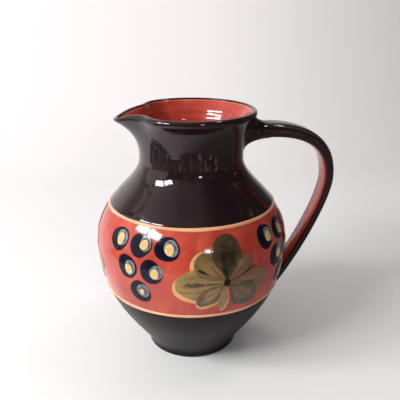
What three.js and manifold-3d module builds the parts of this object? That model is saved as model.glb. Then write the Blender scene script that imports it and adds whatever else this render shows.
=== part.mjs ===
// Ceramic table jug: a thrown, round bellied pot with a pulled pouring lip, a pulled strap handle luted on
// with clay coils at the neck and at the lower belly, and coloured slips laid over the clay.
// Millimetres, +Z up. The wire-cut underside lies on z = 0 and the throwing axis is Z.
// The handle points to +X and the pouring lip to -X, so the left flank faces -Y.
import * as THREE from "three";
import { mergeVertices } from "three/addons/utils/BufferGeometryUtils.js";
import Module from "manifold-3d";

const wasm = await Module();
wasm.setup();

// Thrown body: heights stand on the underside, pulls are the reach of each curve's handles.
const FOOT_RADIUS = 35.6;
const FOOT_HEIGHT = 7;
const FOOT_FLARE = 1.4;
const FOOT_BEVEL = 1.5;
const LOWER_WALL_LEAN = 30;
const LOWER_WALL_PULL = 19.6;
const BELLY_RADIUS = 74.8;
const BELLY_HEIGHT = 92.6;
const BELLY_PULL_DOWN = 43.2;
const BELLY_PULL_UP = 35.3;
const NECK_RADIUS = 39.3;
const NECK_HEIGHT = 158.7;
const NECK_PULL_DOWN = 19.9;
const NECK_PULL_UP = 17;
const RIM_RADIUS = 48.6;
const RIM_HEIGHT = 194.2;
const RIM_LEAN = 38;
const RIM_PULL = 9;
const WALL = 5;
const LIP = 4;
const FLOOR = 7;

// Pouring lip: the rim is drawn out and down on one side, and pinched in on both sides of that.
const SPOUT_LENGTH = 30;
const SPOUT_REACH = 9;
const SPOUT_DIP = 5.5;
const SPOUT_ANGLE = 14;
const SPOUT_CURVE = 1.75;
const PINCH_DEPTH = 5.5;
const PINCH_ANGLE = 31;
const PINCH_SPREAD = 17;

// Strap handle: its middle line leaves the neck, turns over at its farthest reach and runs down to the belly.
const HANDLE_ROOT_DROP = 19;
const HANDLE_RISE = 6;
const HANDLE_ROOT_PULL = 38;
const HANDLE_REACH = 34.3;
const HANDLE_REACH_DROP = 37;
const HANDLE_SHOULDER_PULL = 37.8;
const HANDLE_BACK_PULL = 25.2;
const HANDLE_TAIL_DROP = 51;
const HANDLE_TAIL_PULL = 12;
const HANDLE_TAIL_LEAN = 60;
const HANDLE_ROOT_WIDTH = 20.5;
const HANDLE_TAIL_WIDTH = 16.5;
const HANDLE_ROOT_THICKNESS = 11.6;
const HANDLE_TAIL_THICKNESS = 6.8;
const HANDLE_TAPER_END = 0.6;
const HANDLE_SQUARENESS = 2.8;
const HANDLE_ROOT_DEPTH = 7;
const HANDLE_TAIL_DEPTH = 16;
const BARE_STRIP_WIDTH = 14.5;
const HANDLE_LINE_ROOM = 2;

// Coils of clay that lute the handle on, thumbed out over the wall.
const COIL_LENGTH = 18;
const UPPER_COIL_FLARE = 5.5;
const LOWER_COIL_FLARE = 3;
const COIL_EDGE = 1.4;

// Slips: all lie on the clay with the same clearance.
const SLIP_GAP = 0.4;
const SLIP_THICKNESS = 0.5;
const SLIP_END_HEIGHT = 2.2;
const UPPER_LINE_RISE = 31.1;
const LOWER_LINE_FALL = 33.6;
const LINE_WIDTH = 2.6;
const LINE_CROWN = 0.8;

// Painted vine: grape dabs in bunches of 3, 2 and 1, and lobed leaves, measured along the wall.
const GRAPE_RADIUS = 8.7;
const GRAPE_SPACING = 20;
const GRAPE_ROW_PITCH = 17.8;
const GRAPE_TOP_RISE = 19.5;
const BUNCH_ROWS = 3;
const FRONT_BUNCH_ANGLE = 127;
const BACK_BUNCH_ANGLE = 33;
const FLANK_LEAF_ANGLE = 78;
const SPOUT_LEAF_ANGLE = 172;
const LEAF_FALL = 5.5;
const LEAF_HEART = 7;
const LEAF_REACH = 37;
const LOBE_START = 5;
// Each lobe's direction, and its length and width as shares of the leaf's reach.
const LEAF_LOBES = [
  { angle: 40, length: 0.67, width: 0.5 },
  { angle: 89, length: 0.9, width: 0.58 },
  { angle: 136, length: 0.82, width: 0.58 },
  { angle: 183, length: 1, width: 0.68 },
  { angle: 222, length: 0.76, width: 0.4 },
  { angle: 262, length: 0.68, width: 0.25 },
  { angle: 319, length: 0.88, width: 0.56 },
  { angle: 352, length: 0.95, width: 0.47 },
];

// Fineness of the faceted solids.
const TURN_STEPS = 44;
const TURN_GATHER = 0.35;
const WALL_STEPS = [6, 6, 6];
const FINE_STEPS = [40, 40, 40];
const LIP_STEPS = 2;
const HANDLE_STEPS = 24;
const BACK_STEPS = 11;
const STRIP_STEPS = 3;
const COIL_STEPS = 6;
const ROOM_STEPS = 240;
const TAIL_PULL_STEP = 0.5;
const GRAPE_STEPS = 12;
const OVAL_STEPS = 7;

const CORAL_CLAY = { color: 0xb5503c, roughness: 0.35, metalness: 0 };
const DARK_SLIP = { color: 0x2b1d20, roughness: 0.15, metalness: 0 };
const FOOT_DARK = { color: 0x27272a, roughness: 0.45, metalness: 0 };
const CREAM_SLIP = { color: 0xe8cfb2, roughness: 0.4, metalness: 0 };
const NAVY_SLIP = { color: 0x232733, roughness: 0.25, metalness: 0 };
const OLIVE_SLIP = { color: 0x5c4a2c, roughness: 0.35, metalness: 0 };

const jug = new THREE.Group();
const radians = THREE.MathUtils.degToRad;
const vec = (x, y) => new THREE.Vector2(x, y);

function addPiece(name, geometry, finish) {
  const mesh = new THREE.Mesh(geometry, new THREE.MeshStandardMaterial(finish));
  mesh.name = name;
  jug.add(mesh);
}

// Closed meshes to solids and back, for cuts between neighbours.
function solidOf(geometry) {
  const bare = geometry.clone();
  bare.deleteAttribute("normal");
  bare.deleteAttribute("uv");
  const merged = mergeVertices(bare, 1e-3);
  const vertProperties = new Float32Array(merged.attributes.position.array);
  const triVerts = new Uint32Array(merged.index.array);
  return new wasm.Manifold(new wasm.Mesh({ numProp: 3, vertProperties, triVerts }));
}

function geometryOf(solid) {
  const { vertProperties, triVerts } = solid.getMesh();
  return meshOf(Array.from(vertProperties), Array.from(triVerts));
}

function meshOf(positions, triangles) {
  const geometry = new THREE.BufferGeometry();
  geometry.setAttribute("position", new THREE.Float32BufferAttribute(positions, 3));
  geometry.setIndex(triangles);
  geometry.computeVertexNormals();
  return geometry;
}

// The wall, as stations from the underside's edge to the crest of the rim, each with its outward normal.
const footTop = vec(FOOT_RADIUS + FOOT_FLARE, FOOT_HEIGHT);
const belly = vec(BELLY_RADIUS, BELLY_HEIGHT);
const neck = vec(NECK_RADIUS, NECK_HEIGHT);
const lipEdge = vec(RIM_RADIUS, RIM_HEIGHT - LIP / 2);
const leaning = (degrees) => vec(Math.sin(radians(degrees)), Math.cos(radians(degrees)));
const wallCurves = [
  new THREE.CubicBezierCurve(
    footTop,
    footTop.clone().addScaledVector(leaning(LOWER_WALL_LEAN), LOWER_WALL_PULL),
    vec(BELLY_RADIUS, BELLY_HEIGHT - BELLY_PULL_DOWN),
    belly,
  ),
  new THREE.CubicBezierCurve(
    belly,
    vec(BELLY_RADIUS, BELLY_HEIGHT + BELLY_PULL_UP),
    vec(NECK_RADIUS, NECK_HEIGHT - NECK_PULL_DOWN),
    neck,
  ),
  new THREE.CubicBezierCurve(
    neck,
    vec(NECK_RADIUS, NECK_HEIGHT + NECK_PULL_UP),
    lipEdge.clone().addScaledVector(leaning(RIM_LEAN), -RIM_PULL),
    lipEdge,
  ),
];

function lipStation(degrees) {
  const normal = vec(Math.cos(radians(degrees)), Math.sin(radians(degrees)));
  const middle = vec(RIM_RADIUS - LIP / 2, RIM_HEIGHT - LIP / 2);
  return { point: middle.addScaledVector(normal, LIP / 2), normal };
}

function wallStations(stepsOfCurves) {
  const stations = [{ point: vec(FOOT_RADIUS, FOOT_BEVEL), normal: vec(1, 0) }];
  wallCurves.forEach((curve, stretch) => {
    const steps = stepsOfCurves[stretch];
    for (let step = stretch === 0 ? 0 : 1; step <= steps; step += 1) {
      const tangent = curve.getTangent(step / steps);
      stations.push({ point: curve.getPoint(step / steps), normal: vec(tangent.y, -tangent.x) });
    }
  });
  return stations;
}

const wall = wallStations(WALL_STEPS);
const lipStart = wall.length;
for (let step = 1; step <= LIP_STEPS; step += 1) {
  wall.push(lipStation((90 * step) / LIP_STEPS));
}

const offset = (station, distance) => station.point.clone().addScaledVector(station.normal, distance);

function stationBetween(a, b, share) {
  const normal = a.normal.clone().lerp(b.normal, share).normalize();
  return { point: a.point.clone().lerp(b.point, share), normal };
}

function stationAtHeight(height) {
  const upper = wall.findIndex((station) => station.point.y > height);
  const [a, b] = [wall[upper - 1], wall[upper]];
  return stationBetween(a, b, (height - a.point.y) / (b.point.y - a.point.y));
}

// The smooth wall is also known by its length, counted from the belly's widest ring upwards.
const smoothWall = wallStations(FINE_STEPS);
const lengths = [0];
for (let i = 1; i < smoothWall.length; i += 1) {
  lengths.push(lengths[i - 1] + smoothWall[i].point.distanceTo(smoothWall[i - 1].point));
}
const bellyLength = lengths[1 + FINE_STEPS[0]];

function stationAtLength(rise) {
  const along = bellyLength + rise;
  const upper = lengths.findIndex((length) => length > along);
  const share = (along - lengths[upper - 1]) / (lengths[upper] - lengths[upper - 1]);
  return stationBetween(smoothWall[upper - 1], smoothWall[upper], share);
}

// Turned pieces: a closed outline goes round the axis, with finer facets near the pouring lip.
function turn(outline) {
  const geometry = new THREE.LatheGeometry(outline, TURN_STEPS).rotateX(Math.PI / 2);
  const position = geometry.attributes.position;
  const spot = new THREE.Vector3();
  for (let i = 0; i < position.count; i += 1) {
    spot.fromBufferAttribute(position, i);
    const radius = Math.hypot(spot.x, spot.y);
    const angle = Math.atan2(spot.y, spot.x);
    const turned = angle + TURN_GATHER * Math.sin(angle);
    const { out, down } = spoutPull(turned, spot.z);
    const pulled = radius === 0 ? 0 : radius + out;
    position.setXYZ(i, pulled * Math.cos(turned), pulled * Math.sin(turned), spot.z - down);
  }
  return geometry;
}

function spoutPull(angle, height) {
  const climb = THREE.MathUtils.clamp(1 - (RIM_HEIGHT - height) / SPOUT_LENGTH, 0, 1);
  const strength = climb ** SPOUT_CURVE;
  const aside = 180 - Math.abs(THREE.MathUtils.radToDeg(angle));
  const beak = Math.exp(-((aside / SPOUT_ANGLE) ** 2));
  const pinch = Math.exp(-(((aside - PINCH_ANGLE) / PINCH_SPREAD) ** 2));
  return { out: strength * (SPOUT_REACH * beak - PINCH_DEPTH * pinch), down: strength * SPOUT_DIP * beak };
}

// Thrown body, with its flat underside, its even wall and its open inside.
const underside = [vec(0, 0), vec(FOOT_RADIUS - FOOT_BEVEL, 0)];
const outside = wall.map((station) => station.point);
const lipInside = [];
for (let step = 1; step <= LIP_STEPS; step += 1) {
  lipInside.push(lipStation(90 + (90 * step) / LIP_STEPS).point);
}
const inside = wall
  .slice(1, lipStart - 1)
  .map((station) => offset(station, -WALL))
  .filter((point) => point.y > FLOOR + WALL / 2)
  .reverse();
const lowest = inside[inside.length - 1];
const floorEdge = vec(lowest.x - (lowest.y - FLOOR) * Math.tan(radians(LOWER_WALL_LEAN)), FLOOR);
const bodyOutline = [...underside, ...outside, ...lipInside, ...inside, floorEdge, vec(0, FLOOR)];
addPiece("thrown_body", turn(bodyOutline), CORAL_CLAY);

// The room that the body takes up, filled and with clearance all round, for cutting what stands against it.
const coreOutline = [vec(0, -SLIP_GAP), vec(FOOT_RADIUS - FOOT_BEVEL, -SLIP_GAP)];
wall.forEach((station) => coreOutline.push(offset(station, SLIP_GAP)));
coreOutline.push(vec(0, RIM_HEIGHT + SLIP_GAP));
const bodyRoom = solidOf(turn(coreOutline));

// Swept pieces: sections of (across, outward) points, placed along the handle's middle line.
const rootHeight = RIM_HEIGHT - HANDLE_ROOT_DROP;
const reachRadius = BELLY_RADIUS + HANDLE_REACH;
const reachHeight = rootHeight - HANDLE_REACH_DROP;
const tailHeight = BELLY_HEIGHT - HANDLE_TAIL_DROP;
const rootRadius = stationAtHeight(rootHeight).point.x - HANDLE_ROOT_DEPTH;
const tailOnWall = stationAtHeight(tailHeight).point;
const tailLean = leaning(HANDLE_TAIL_LEAN);
const tailEnd = tailOnWall.clone().addScaledVector(tailLean, -HANDLE_TAIL_DEPTH);

function strapLine(tailPull) {
  const line = new THREE.CurvePath();
  line.add(
    new THREE.CubicBezierCurve(
      vec(rootRadius, rootHeight),
      vec(rootRadius + HANDLE_ROOT_PULL, rootHeight + HANDLE_RISE),
      vec(reachRadius, reachHeight + HANDLE_SHOULDER_PULL),
      vec(reachRadius, reachHeight),
    ),
  );
  line.add(
    new THREE.CubicBezierCurve(
      vec(reachRadius, reachHeight),
      vec(reachRadius, reachHeight - HANDLE_BACK_PULL),
      tailOnWall.clone().addScaledVector(tailLean, tailPull),
      tailOnWall,
    ),
  );
  line.add(new THREE.LineCurve(tailOnWall, tailEnd));
  return line;
}

function sharesBetween(from, to, steps) {
  return Array.from({ length: steps + 1 }, (_, step) => THREE.MathUtils.lerp(from, to, step / steps));
}

// The strap's section is a rounded oblong. Its bare strip lies on the finger side, its back is all the rest.
function strapSize(share) {
  const taper = THREE.MathUtils.smoothstep(share, 0, HANDLE_TAPER_END);
  return {
    halfWidth: THREE.MathUtils.lerp(HANDLE_ROOT_WIDTH, HANDLE_TAIL_WIDTH, taper) / 2,
    halfThickness: THREE.MathUtils.lerp(HANDLE_ROOT_THICKNESS, HANDLE_TAIL_THICKNESS, taper) / 2,
  };
}

// The lower leg is pulled out as far as its finger side needs to pass clear of the lower cream line.
const upperLineHeight = BELLY_HEIGHT + UPPER_LINE_RISE;
const lowerLineHeight = BELLY_HEIGHT - LOWER_LINE_FALL;

function roomAtLine(line) {
  const fingerSide = sharesBetween(1, 0, ROOM_STEPS).map((share) => {
    const tangent = line.getTangent(share);
    const inward = vec(tangent.y, -tangent.x);
    return line.getPoint(share).addScaledVector(inward, strapSize(share).halfThickness);
  });
  const above = fingerSide.findIndex((point) => point.y > lowerLineHeight);
  return above < 1 ? Infinity : fingerSide[above].x - stationAtHeight(lowerLineHeight).point.x;
}

let tailPull = HANDLE_TAIL_PULL;
let handleLine = strapLine(tailPull);
while (roomAtLine(handleLine) < HANDLE_LINE_ROOM) {
  tailPull += TAIL_PULL_STEP;
  handleLine = strapLine(tailPull);
}
const handleLength = handleLine.getLength();

function strapBack(share, grow) {
  const { halfWidth, halfThickness } = strapSize(share);
  const corner = Math.acos((BARE_STRIP_WIDTH / 2 / halfWidth) ** (HANDLE_SQUARENESS / 2));
  const rounded = (value) => Math.sign(value) * Math.abs(value) ** (2 / HANDLE_SQUARENESS);
  const pointAt = (angle) =>
    vec((halfWidth + grow) * rounded(Math.cos(angle)), (halfThickness + grow) * rounded(Math.sin(angle)));
  const back = sharesBetween(-corner, Math.PI + corner, BACK_STEPS).map(pointAt);
  const strip = sharesBetween(Math.PI + corner, 2 * Math.PI - corner, STRIP_STEPS).map(pointAt);
  return { back, strip: strip.slice(1, STRIP_STEPS) };
}

function strapSection(share, grow) {
  const { back, strip } = strapBack(share, grow);
  return [...back, ...strip];
}

function sweep(shares, sectionAt) {
  const positions = [];
  const triangles = [];
  const sections = shares.map(sectionAt);
  const count = sections[0].length;
  sections.forEach((section, ring) => {
    const middle = handleLine.getPoint(shares[ring]);
    const tangent = handleLine.getTangent(shares[ring]);
    section.forEach(({ x: across, y: out }) => {
      positions.push(middle.x - tangent.y * out, across, middle.y + tangent.x * out);
    });
  });
  for (let ring = 1; ring < shares.length; ring += 1) {
    for (let i = 0; i < count; i += 1) {
      const a = (ring - 1) * count + i;
      const b = (ring - 1) * count + ((i + 1) % count);
      triangles.push(a, b, b + count, a, b + count, a + count);
    }
  }
  const lastRing = (shares.length - 1) * count;
  for (const [a, b, c] of THREE.ShapeUtils.triangulateShape(sections[0], [])) {
    triangles.push(c, b, a);
  }
  for (const [a, b, c] of THREE.ShapeUtils.triangulateShape(sections[shares.length - 1], [])) {
    triangles.push(lastRing + a, lastRing + b, lastRing + c);
  }
  return meshOf(positions, triangles);
}

// Strap handle, ending on the wall at both ends.
const wholeLine = sharesBetween(0, 1, HANDLE_STEPS);
const handleRoom = solidOf(sweep(wholeLine, (share) => strapSection(share, SLIP_GAP)));
const handle = solidOf(sweep(wholeLine, (share) => strapSection(share, 0))).subtract(bodyRoom);
addPiece("strap_handle", geometryOf(handle), CORAL_CLAY);

// Luting coils: sleeves round both ends of the strap that spread out towards the wall.
const upperWallShare = HANDLE_ROOT_DEPTH / handleLength;
const lowerWallShare = 1 - HANDLE_TAIL_DEPTH / handleLength;
const coilShare = COIL_LENGTH / handleLength;

function coilSleeve(shares, wallShare, flare, grow) {
  return solidOf(
    sweep(shares, (share) => {
      const spread = THREE.MathUtils.clamp(1 - Math.abs(share - wallShare) / coilShare, 0, 1);
      const buried = wallShare === upperWallShare ? share < wallShare : share > wallShare;
      return strapSection(share, SLIP_GAP + COIL_EDGE + flare * (buried ? 1 : spread ** 2) + grow);
    }),
  );
}

const upperShares = sharesBetween(0, upperWallShare + coilShare, COIL_STEPS);
const lowerShares = sharesBetween(lowerWallShare - coilShare, 1, COIL_STEPS);
const upperRoom = coilSleeve(upperShares, upperWallShare, UPPER_COIL_FLARE, SLIP_GAP);
const lowerRoom = coilSleeve(lowerShares, lowerWallShare, LOWER_COIL_FLARE, SLIP_GAP);
const upperCoil = coilSleeve(upperShares, upperWallShare, UPPER_COIL_FLARE, 0);
const lowerCoil = coilSleeve(lowerShares, lowerWallShare, LOWER_COIL_FLARE, 0);
addPiece("upper_luting_coil", geometryOf(upperCoil.subtract(handleRoom).subtract(bodyRoom)), DARK_SLIP);
addPiece("lower_luting_coil", geometryOf(lowerCoil.subtract(handleRoom).subtract(bodyRoom)), DARK_SLIP);

// Dark slip on the back and edges of the strap: an open channel that leaves the finger side bare.
function channelSection(share) {
  const outer = strapBack(share, SLIP_GAP + SLIP_THICKNESS).back;
  const inner = strapBack(share, SLIP_GAP).back;
  return [...outer, ...inner.reverse()];
}

const handleSlip = solidOf(sweep(wholeLine, channelSection)).subtract(bodyRoom);
addPiece("handle_slip", geometryOf(handleSlip.subtract(upperRoom).subtract(lowerRoom)), DARK_SLIP);

// Trailed cream lines that part the dark slips from the bare band.
function trailedLine(height) {
  const { point, normal } = stationAtHeight(height);
  const along = vec(-normal.y, normal.x);
  const at = (up, out) => point.clone().addScaledVector(along, up).addScaledVector(normal, out);
  const foot = at(-LINE_WIDTH / 2, SLIP_GAP);
  const crown = [at(-LINE_WIDTH / 4, SLIP_GAP + LINE_CROWN), at(LINE_WIDTH / 4, SLIP_GAP + LINE_CROWN)];
  return turn([foot, ...crown, at(LINE_WIDTH / 2, SLIP_GAP), foot]);
}

addPiece("upper_cream_line", trailedLine(upperLineHeight), CREAM_SLIP);
const lowerLine = solidOf(trailedLine(lowerLineHeight)).subtract(lowerRoom).subtract(handleRoom);
addPiece("lower_cream_line", geometryOf(lowerLine), CREAM_SLIP);

// Dark slips over the neck and over the foot: even coats between two stations of the wall.
function coat(stations) {
  const outer = stations.map((station) => offset(station, SLIP_GAP + SLIP_THICKNESS));
  const inner = stations.map((station) => offset(station, SLIP_GAP)).reverse();
  return turn([...outer, ...inner, outer[0]]);
}

function stationsBetween(low, high) {
  const within = wall.filter(({ point }) => point.y > low.point.y && point.y < high.point.y);
  return [low, ...within, high];
}

const clearOfLine = LINE_WIDTH / 2 + SLIP_GAP;
const crest = wall[wall.length - 1];
const neckCoat = coat(stationsBetween(stationAtHeight(upperLineHeight + clearOfLine), crest));
addPiece("neck_slip", geometryOf(solidOf(neckCoat).subtract(upperRoom).subtract(handleRoom)), DARK_SLIP);
const footCoatTop = stationAtHeight(lowerLineHeight - clearOfLine);
const footCoat = coat(stationsBetween(stationAtHeight(SLIP_END_HEIGHT), footCoatTop));
addPiece("foot_slip", geometryOf(solidOf(footCoat).subtract(lowerRoom).subtract(handleRoom)), FOOT_DARK);

// Painted vine: bunches of grapes in rows of 3, 2 and 1 from the top, as round dabs that follow the wall.
function roundDab(angle, rise, footRadius, crownRadius, foot, crown) {
  const positions = [];
  const triangles = [];
  const put = (across, up, lift) => {
    const station = stationAtLength(rise + up);
    const spot = offset(station, lift);
    const turned = angle + across / station.point.x;
    positions.push(spot.x * Math.cos(turned), spot.x * Math.sin(turned), spot.y);
  };
  const putRing = (radius, lift) => {
    for (let step = 0; step < GRAPE_STEPS; step += 1) {
      const direction = (2 * Math.PI * step) / GRAPE_STEPS;
      put(radius * Math.cos(direction), radius * Math.sin(direction), lift);
    }
  };
  putRing(footRadius, foot);
  putRing(crownRadius, crown);
  put(0, 0, foot);
  put(0, 0, crown);
  const under = 2 * GRAPE_STEPS;
  const top = under + 1;
  for (let edge = 0; edge < GRAPE_STEPS; edge += 1) {
    const next = (edge + 1) % GRAPE_STEPS;
    const inner = GRAPE_STEPS + edge;
    const innerNext = GRAPE_STEPS + next;
    triangles.push(under, next, edge, edge, next, innerNext, edge, innerNext, inner, top, inner, innerNext);
  }
  return meshOf(positions, triangles);
}

const slipCrown = SLIP_GAP + SLIP_THICKNESS;
const grapeRoomRadius = GRAPE_RADIUS + SLIP_GAP;
const grapeRooms = [];

function paintBunch(name, degrees) {
  let number = 1;
  for (let row = 0; row < BUNCH_ROWS; row += 1) {
    const rise = GRAPE_TOP_RISE - row * GRAPE_ROW_PITCH;
    const radius = stationAtLength(rise).point.x;
    const inRow = BUNCH_ROWS - row;
    for (let column = 0; column < inRow; column += 1) {
      const across = (column - (inRow - 1) / 2) * GRAPE_SPACING;
      const angle = radians(degrees) + across / radius;
      const grape = roundDab(angle, rise, GRAPE_RADIUS, GRAPE_RADIUS / 2, SLIP_GAP, slipCrown);
      addPiece(`${name}_grape_${number}`, grape, NAVY_SLIP);
      const room = roundDab(angle, rise, grapeRoomRadius, grapeRoomRadius, 0, slipCrown + SLIP_GAP);
      grapeRooms.push(solidOf(room));
      number += 1;
    }
  }
}

paintBunch("left_front", -FRONT_BUNCH_ANGLE);
paintBunch("left_back", -BACK_BUNCH_ANGLE);
paintBunch("right_front", FRONT_BUNCH_ANGLE);
paintBunch("right_back", BACK_BUNCH_ANGLE);

// Vine leaves: brushed oval lobes that spread from a round heart. Each is stamped, along the leaf's own
// outward direction, out of a coat on the band between the cream lines that leaves room for the grapes.
const bandLow = stationAtHeight(lowerLineHeight + clearOfLine);
const bandHigh = stationAtHeight(upperLineHeight - clearOfLine);
const bandCoat = grapeRooms.reduce(
  (band, room) => band.subtract(room),
  solidOf(coat(stationsBetween(bandLow, bandHigh))),
);

function ovalStamp(middle, halfLength, halfWidth, turned) {
  const oval = new THREE.Shape();
  oval.absellipse(middle.x, middle.y, halfLength, halfWidth, 0, 2 * Math.PI, false, turned);
  const depth = BELLY_RADIUS + WALL;
  return solidOf(new THREE.ExtrudeGeometry(oval, { depth, curveSegments: OVAL_STEPS, bevelEnabled: false }));
}

function leafStamp() {
  let stamp = ovalStamp(vec(0, 0), LEAF_HEART, LEAF_HEART, 0);
  for (const { angle, length, width } of LEAF_LOBES) {
    const turned = radians(angle);
    const tip = length * LEAF_REACH;
    const middle = vec(Math.cos(turned), Math.sin(turned)).multiplyScalar((LOBE_START + tip) / 2);
    stamp = stamp.add(ovalStamp(middle, (tip - LOBE_START) / 2, (width * LEAF_REACH) / 2, turned));
  }
  return geometryOf(stamp);
}

function paintLeaf(name, degrees) {
  const outward = new THREE.Vector3(Math.cos(radians(degrees)), Math.sin(radians(degrees)), 0);
  const up = new THREE.Vector3(0, 0, 1);
  const across = new THREE.Vector3().crossVectors(up, outward);
  const height = stationAtLength(-LEAF_FALL).point.y;
  const placed = new THREE.Matrix4().makeBasis(across, up, outward).setPosition(0, 0, height);
  const leaf = bandCoat.intersect(solidOf(leafStamp().applyMatrix4(placed)));
  addPiece(name, geometryOf(leaf), OLIVE_SLIP);
}

paintLeaf("left_leaf", -FLANK_LEAF_ANGLE);
paintLeaf("right_leaf", FLANK_LEAF_ANGLE);
paintLeaf("spout_leaf", SPOUT_LEAF_ANGLE);

export default jug;
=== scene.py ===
# %% [markdown]
# # A thrown jug with coloured slips
#
# The jug is a round bellied pot from the potter's wheel, with a pouring lip pulled by one finger and a
# strap handle luted on afterwards. Dark glaze covers its neck, foot and handle, two trailed cream lines
# frame a coral band, and the band is painted with bunches of grapes and vine leaves.
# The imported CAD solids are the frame: they fix every size and place. The cells below model each piece
# again, smooth and in fine detail, in the place of its faceted solid.

# %% Load the frame
import bisect
import math

import bpy
from mathutils import Matrix, Vector
from mathutils.geometry import interpolate_bezier


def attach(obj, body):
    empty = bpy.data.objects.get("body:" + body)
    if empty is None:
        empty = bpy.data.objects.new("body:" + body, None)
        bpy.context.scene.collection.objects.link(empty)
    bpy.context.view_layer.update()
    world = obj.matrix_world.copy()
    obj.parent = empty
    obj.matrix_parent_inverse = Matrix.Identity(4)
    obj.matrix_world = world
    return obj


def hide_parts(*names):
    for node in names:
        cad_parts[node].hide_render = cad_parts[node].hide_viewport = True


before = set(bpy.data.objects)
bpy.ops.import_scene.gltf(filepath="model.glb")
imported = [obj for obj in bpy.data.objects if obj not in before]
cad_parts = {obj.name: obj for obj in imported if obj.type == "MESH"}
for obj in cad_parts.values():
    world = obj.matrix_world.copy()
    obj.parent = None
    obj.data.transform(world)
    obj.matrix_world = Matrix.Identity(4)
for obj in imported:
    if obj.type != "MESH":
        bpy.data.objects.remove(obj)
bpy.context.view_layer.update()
print("CAD nodes:", len(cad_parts))

# %% [markdown]
# ## Camera
#
# The view is from a little above the rim, nearly square to the jug's left flank, with the handle on the
# right. A real camera is set by where it stands and how it is tilted, so the same is done here: a place,
# a heading and a downward tilt, and the lens that gives the picture's perspective.

# %% Camera
CAMERA_PLACE = Vector((-0.0495, -0.4035, 0.2718))
CAMERA_TILT_DOWN = math.radians(20.24)
CAMERA_HEADING = math.radians(-7.93)
CAMERA_LENS = 49.33
CAMERA_NEAR = 0.01

bpy.ops.object.camera_add(
    location=CAMERA_PLACE,
    rotation=(math.pi / 2 - CAMERA_TILT_DOWN, 0, CAMERA_HEADING),
)
camera = bpy.context.object
camera.data.lens = CAMERA_LENS
camera.data.clip_start = CAMERA_NEAR
bpy.context.scene.camera = camera
print("camera stands", round(camera.location.xy.length, 3), "m from the throwing axis")

# %% [markdown]
# ## The wall's outline
#
# A thrown pot is one outline turned round an axis. The outline is drawn as four Bezier curves, as a
# modeller would draw it with a pen tool: the foot, the lower wall up to the widest ring, the shoulder in
# to the neck, and the flare up to the lip. Then half a circle rounds the lip over. All pieces that lie on
# the wall, such as glazes and painted dabs, look up their place by the length along this outline.

# %% The wall's outline
FOOT_RADIUS = 0.0356
FOOT_HEIGHT = 0.007
FOOT_FLARE = 0.0014
FOOT_BEVEL = 0.0015
BEVEL_POINTS = 5
LOWER_WALL_LEAN = math.radians(30)
LOWER_WALL_PULL = 0.0196
BELLY_RADIUS = 0.0748
BELLY_HEIGHT = 0.0926
BELLY_PULL_DOWN = 0.0432
BELLY_PULL_UP = 0.0353
NECK_RADIUS = 0.0393
NECK_HEIGHT = 0.1587
NECK_PULL_DOWN = 0.0199
NECK_PULL_UP = 0.017
RIM_RADIUS = 0.0486
RIM_HEIGHT = 0.1942
RIM_LEAN = math.radians(38)
RIM_PULL = 0.009
LIP = 0.004
WALL_POINTS = {"foot": 7, "lower": 50, "shoulder": 50, "flare": 26, "lip": 15}


def flat(radius, height):
    """A point of the outline, which lies in the XZ plane."""
    return Vector((radius, 0, height))


def leaning(angle):
    """A direction in the outline's plane, leaning outwards from straight up."""
    return flat(math.sin(angle), math.cos(angle))


def arc(middle, radius, start, end, points):
    """Points of a round stretch of the outline, by angles from the outward direction."""
    turns = [start + (end - start) * step / points for step in range(points + 1)]
    return [middle + radius * flat(math.cos(turn), math.sin(turn)) for turn in turns]


foot_edge = flat(FOOT_RADIUS, FOOT_BEVEL)
foot_top = flat(FOOT_RADIUS + FOOT_FLARE, FOOT_HEIGHT)
belly = flat(BELLY_RADIUS, BELLY_HEIGHT)
neck = flat(NECK_RADIUS, NECK_HEIGHT)
lip_edge = flat(RIM_RADIUS, RIM_HEIGHT - LIP / 2 * (1 + math.sin(RIM_LEAN)))
lip_normal = flat(math.cos(RIM_LEAN), -math.sin(RIM_LEAN))
curves = {
    "foot": (
        foot_edge,
        foot_edge + flat(0, FOOT_HEIGHT / 3),
        foot_top - FOOT_HEIGHT / 3 * leaning(LOWER_WALL_LEAN),
        foot_top,
    ),
    "lower": (
        foot_top,
        foot_top + LOWER_WALL_PULL * leaning(LOWER_WALL_LEAN),
        flat(BELLY_RADIUS, BELLY_HEIGHT - BELLY_PULL_DOWN),
        belly,
    ),
    "shoulder": (
        belly,
        flat(BELLY_RADIUS, BELLY_HEIGHT + BELLY_PULL_UP),
        flat(NECK_RADIUS, NECK_HEIGHT - NECK_PULL_DOWN),
        neck,
    ),
    "flare": (
        neck,
        flat(NECK_RADIUS, NECK_HEIGHT + NECK_PULL_UP),
        lip_edge - RIM_PULL * leaning(RIM_LEAN),
        lip_edge,
    ),
}
bevel_middle = flat(FOOT_RADIUS - FOOT_BEVEL, FOOT_BEVEL)
skin = arc(bevel_middle, FOOT_BEVEL, -math.pi / 2, 0, BEVEL_POINTS)
for stretch, knots in curves.items():
    skin += interpolate_bezier(*knots, WALL_POINTS[stretch])[1:]
lip_start = len(skin) - 1
lip_middle = lip_edge - LIP / 2 * lip_normal
skin += arc(lip_middle, LIP / 2, -RIM_LEAN, math.pi - RIM_LEAN, WALL_POINTS["lip"])[1:]
print("outline has", len(skin), "points from the foot's bevel to the inside of the lip")

# %% [markdown]
# ## Places on the wall
#
# Whatever lies on the wall asks three things of it: where it is at a length along the outline, which way
# it faces there, and at which length it passes a height. The lengths of all steps of the outline are added
# up once, and each question is then answered by finding the step and going the right share along it.

# %% Places on the wall
def measure(points):
    """Length from the first point of a line to each of its points."""
    lengths = [0.0]
    for before, after in zip(points, points[1:]):
        lengths.append(lengths[-1] + (after - before).length)
    return lengths


skin_lengths = measure(skin)


def normal_of(index):
    """The outward direction at one point of the outline, from its two neighbours."""
    along = skin[min(index + 1, len(skin) - 1)] - skin[max(index - 1, 0)]
    return flat(along.z, -along.x).normalized()


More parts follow.
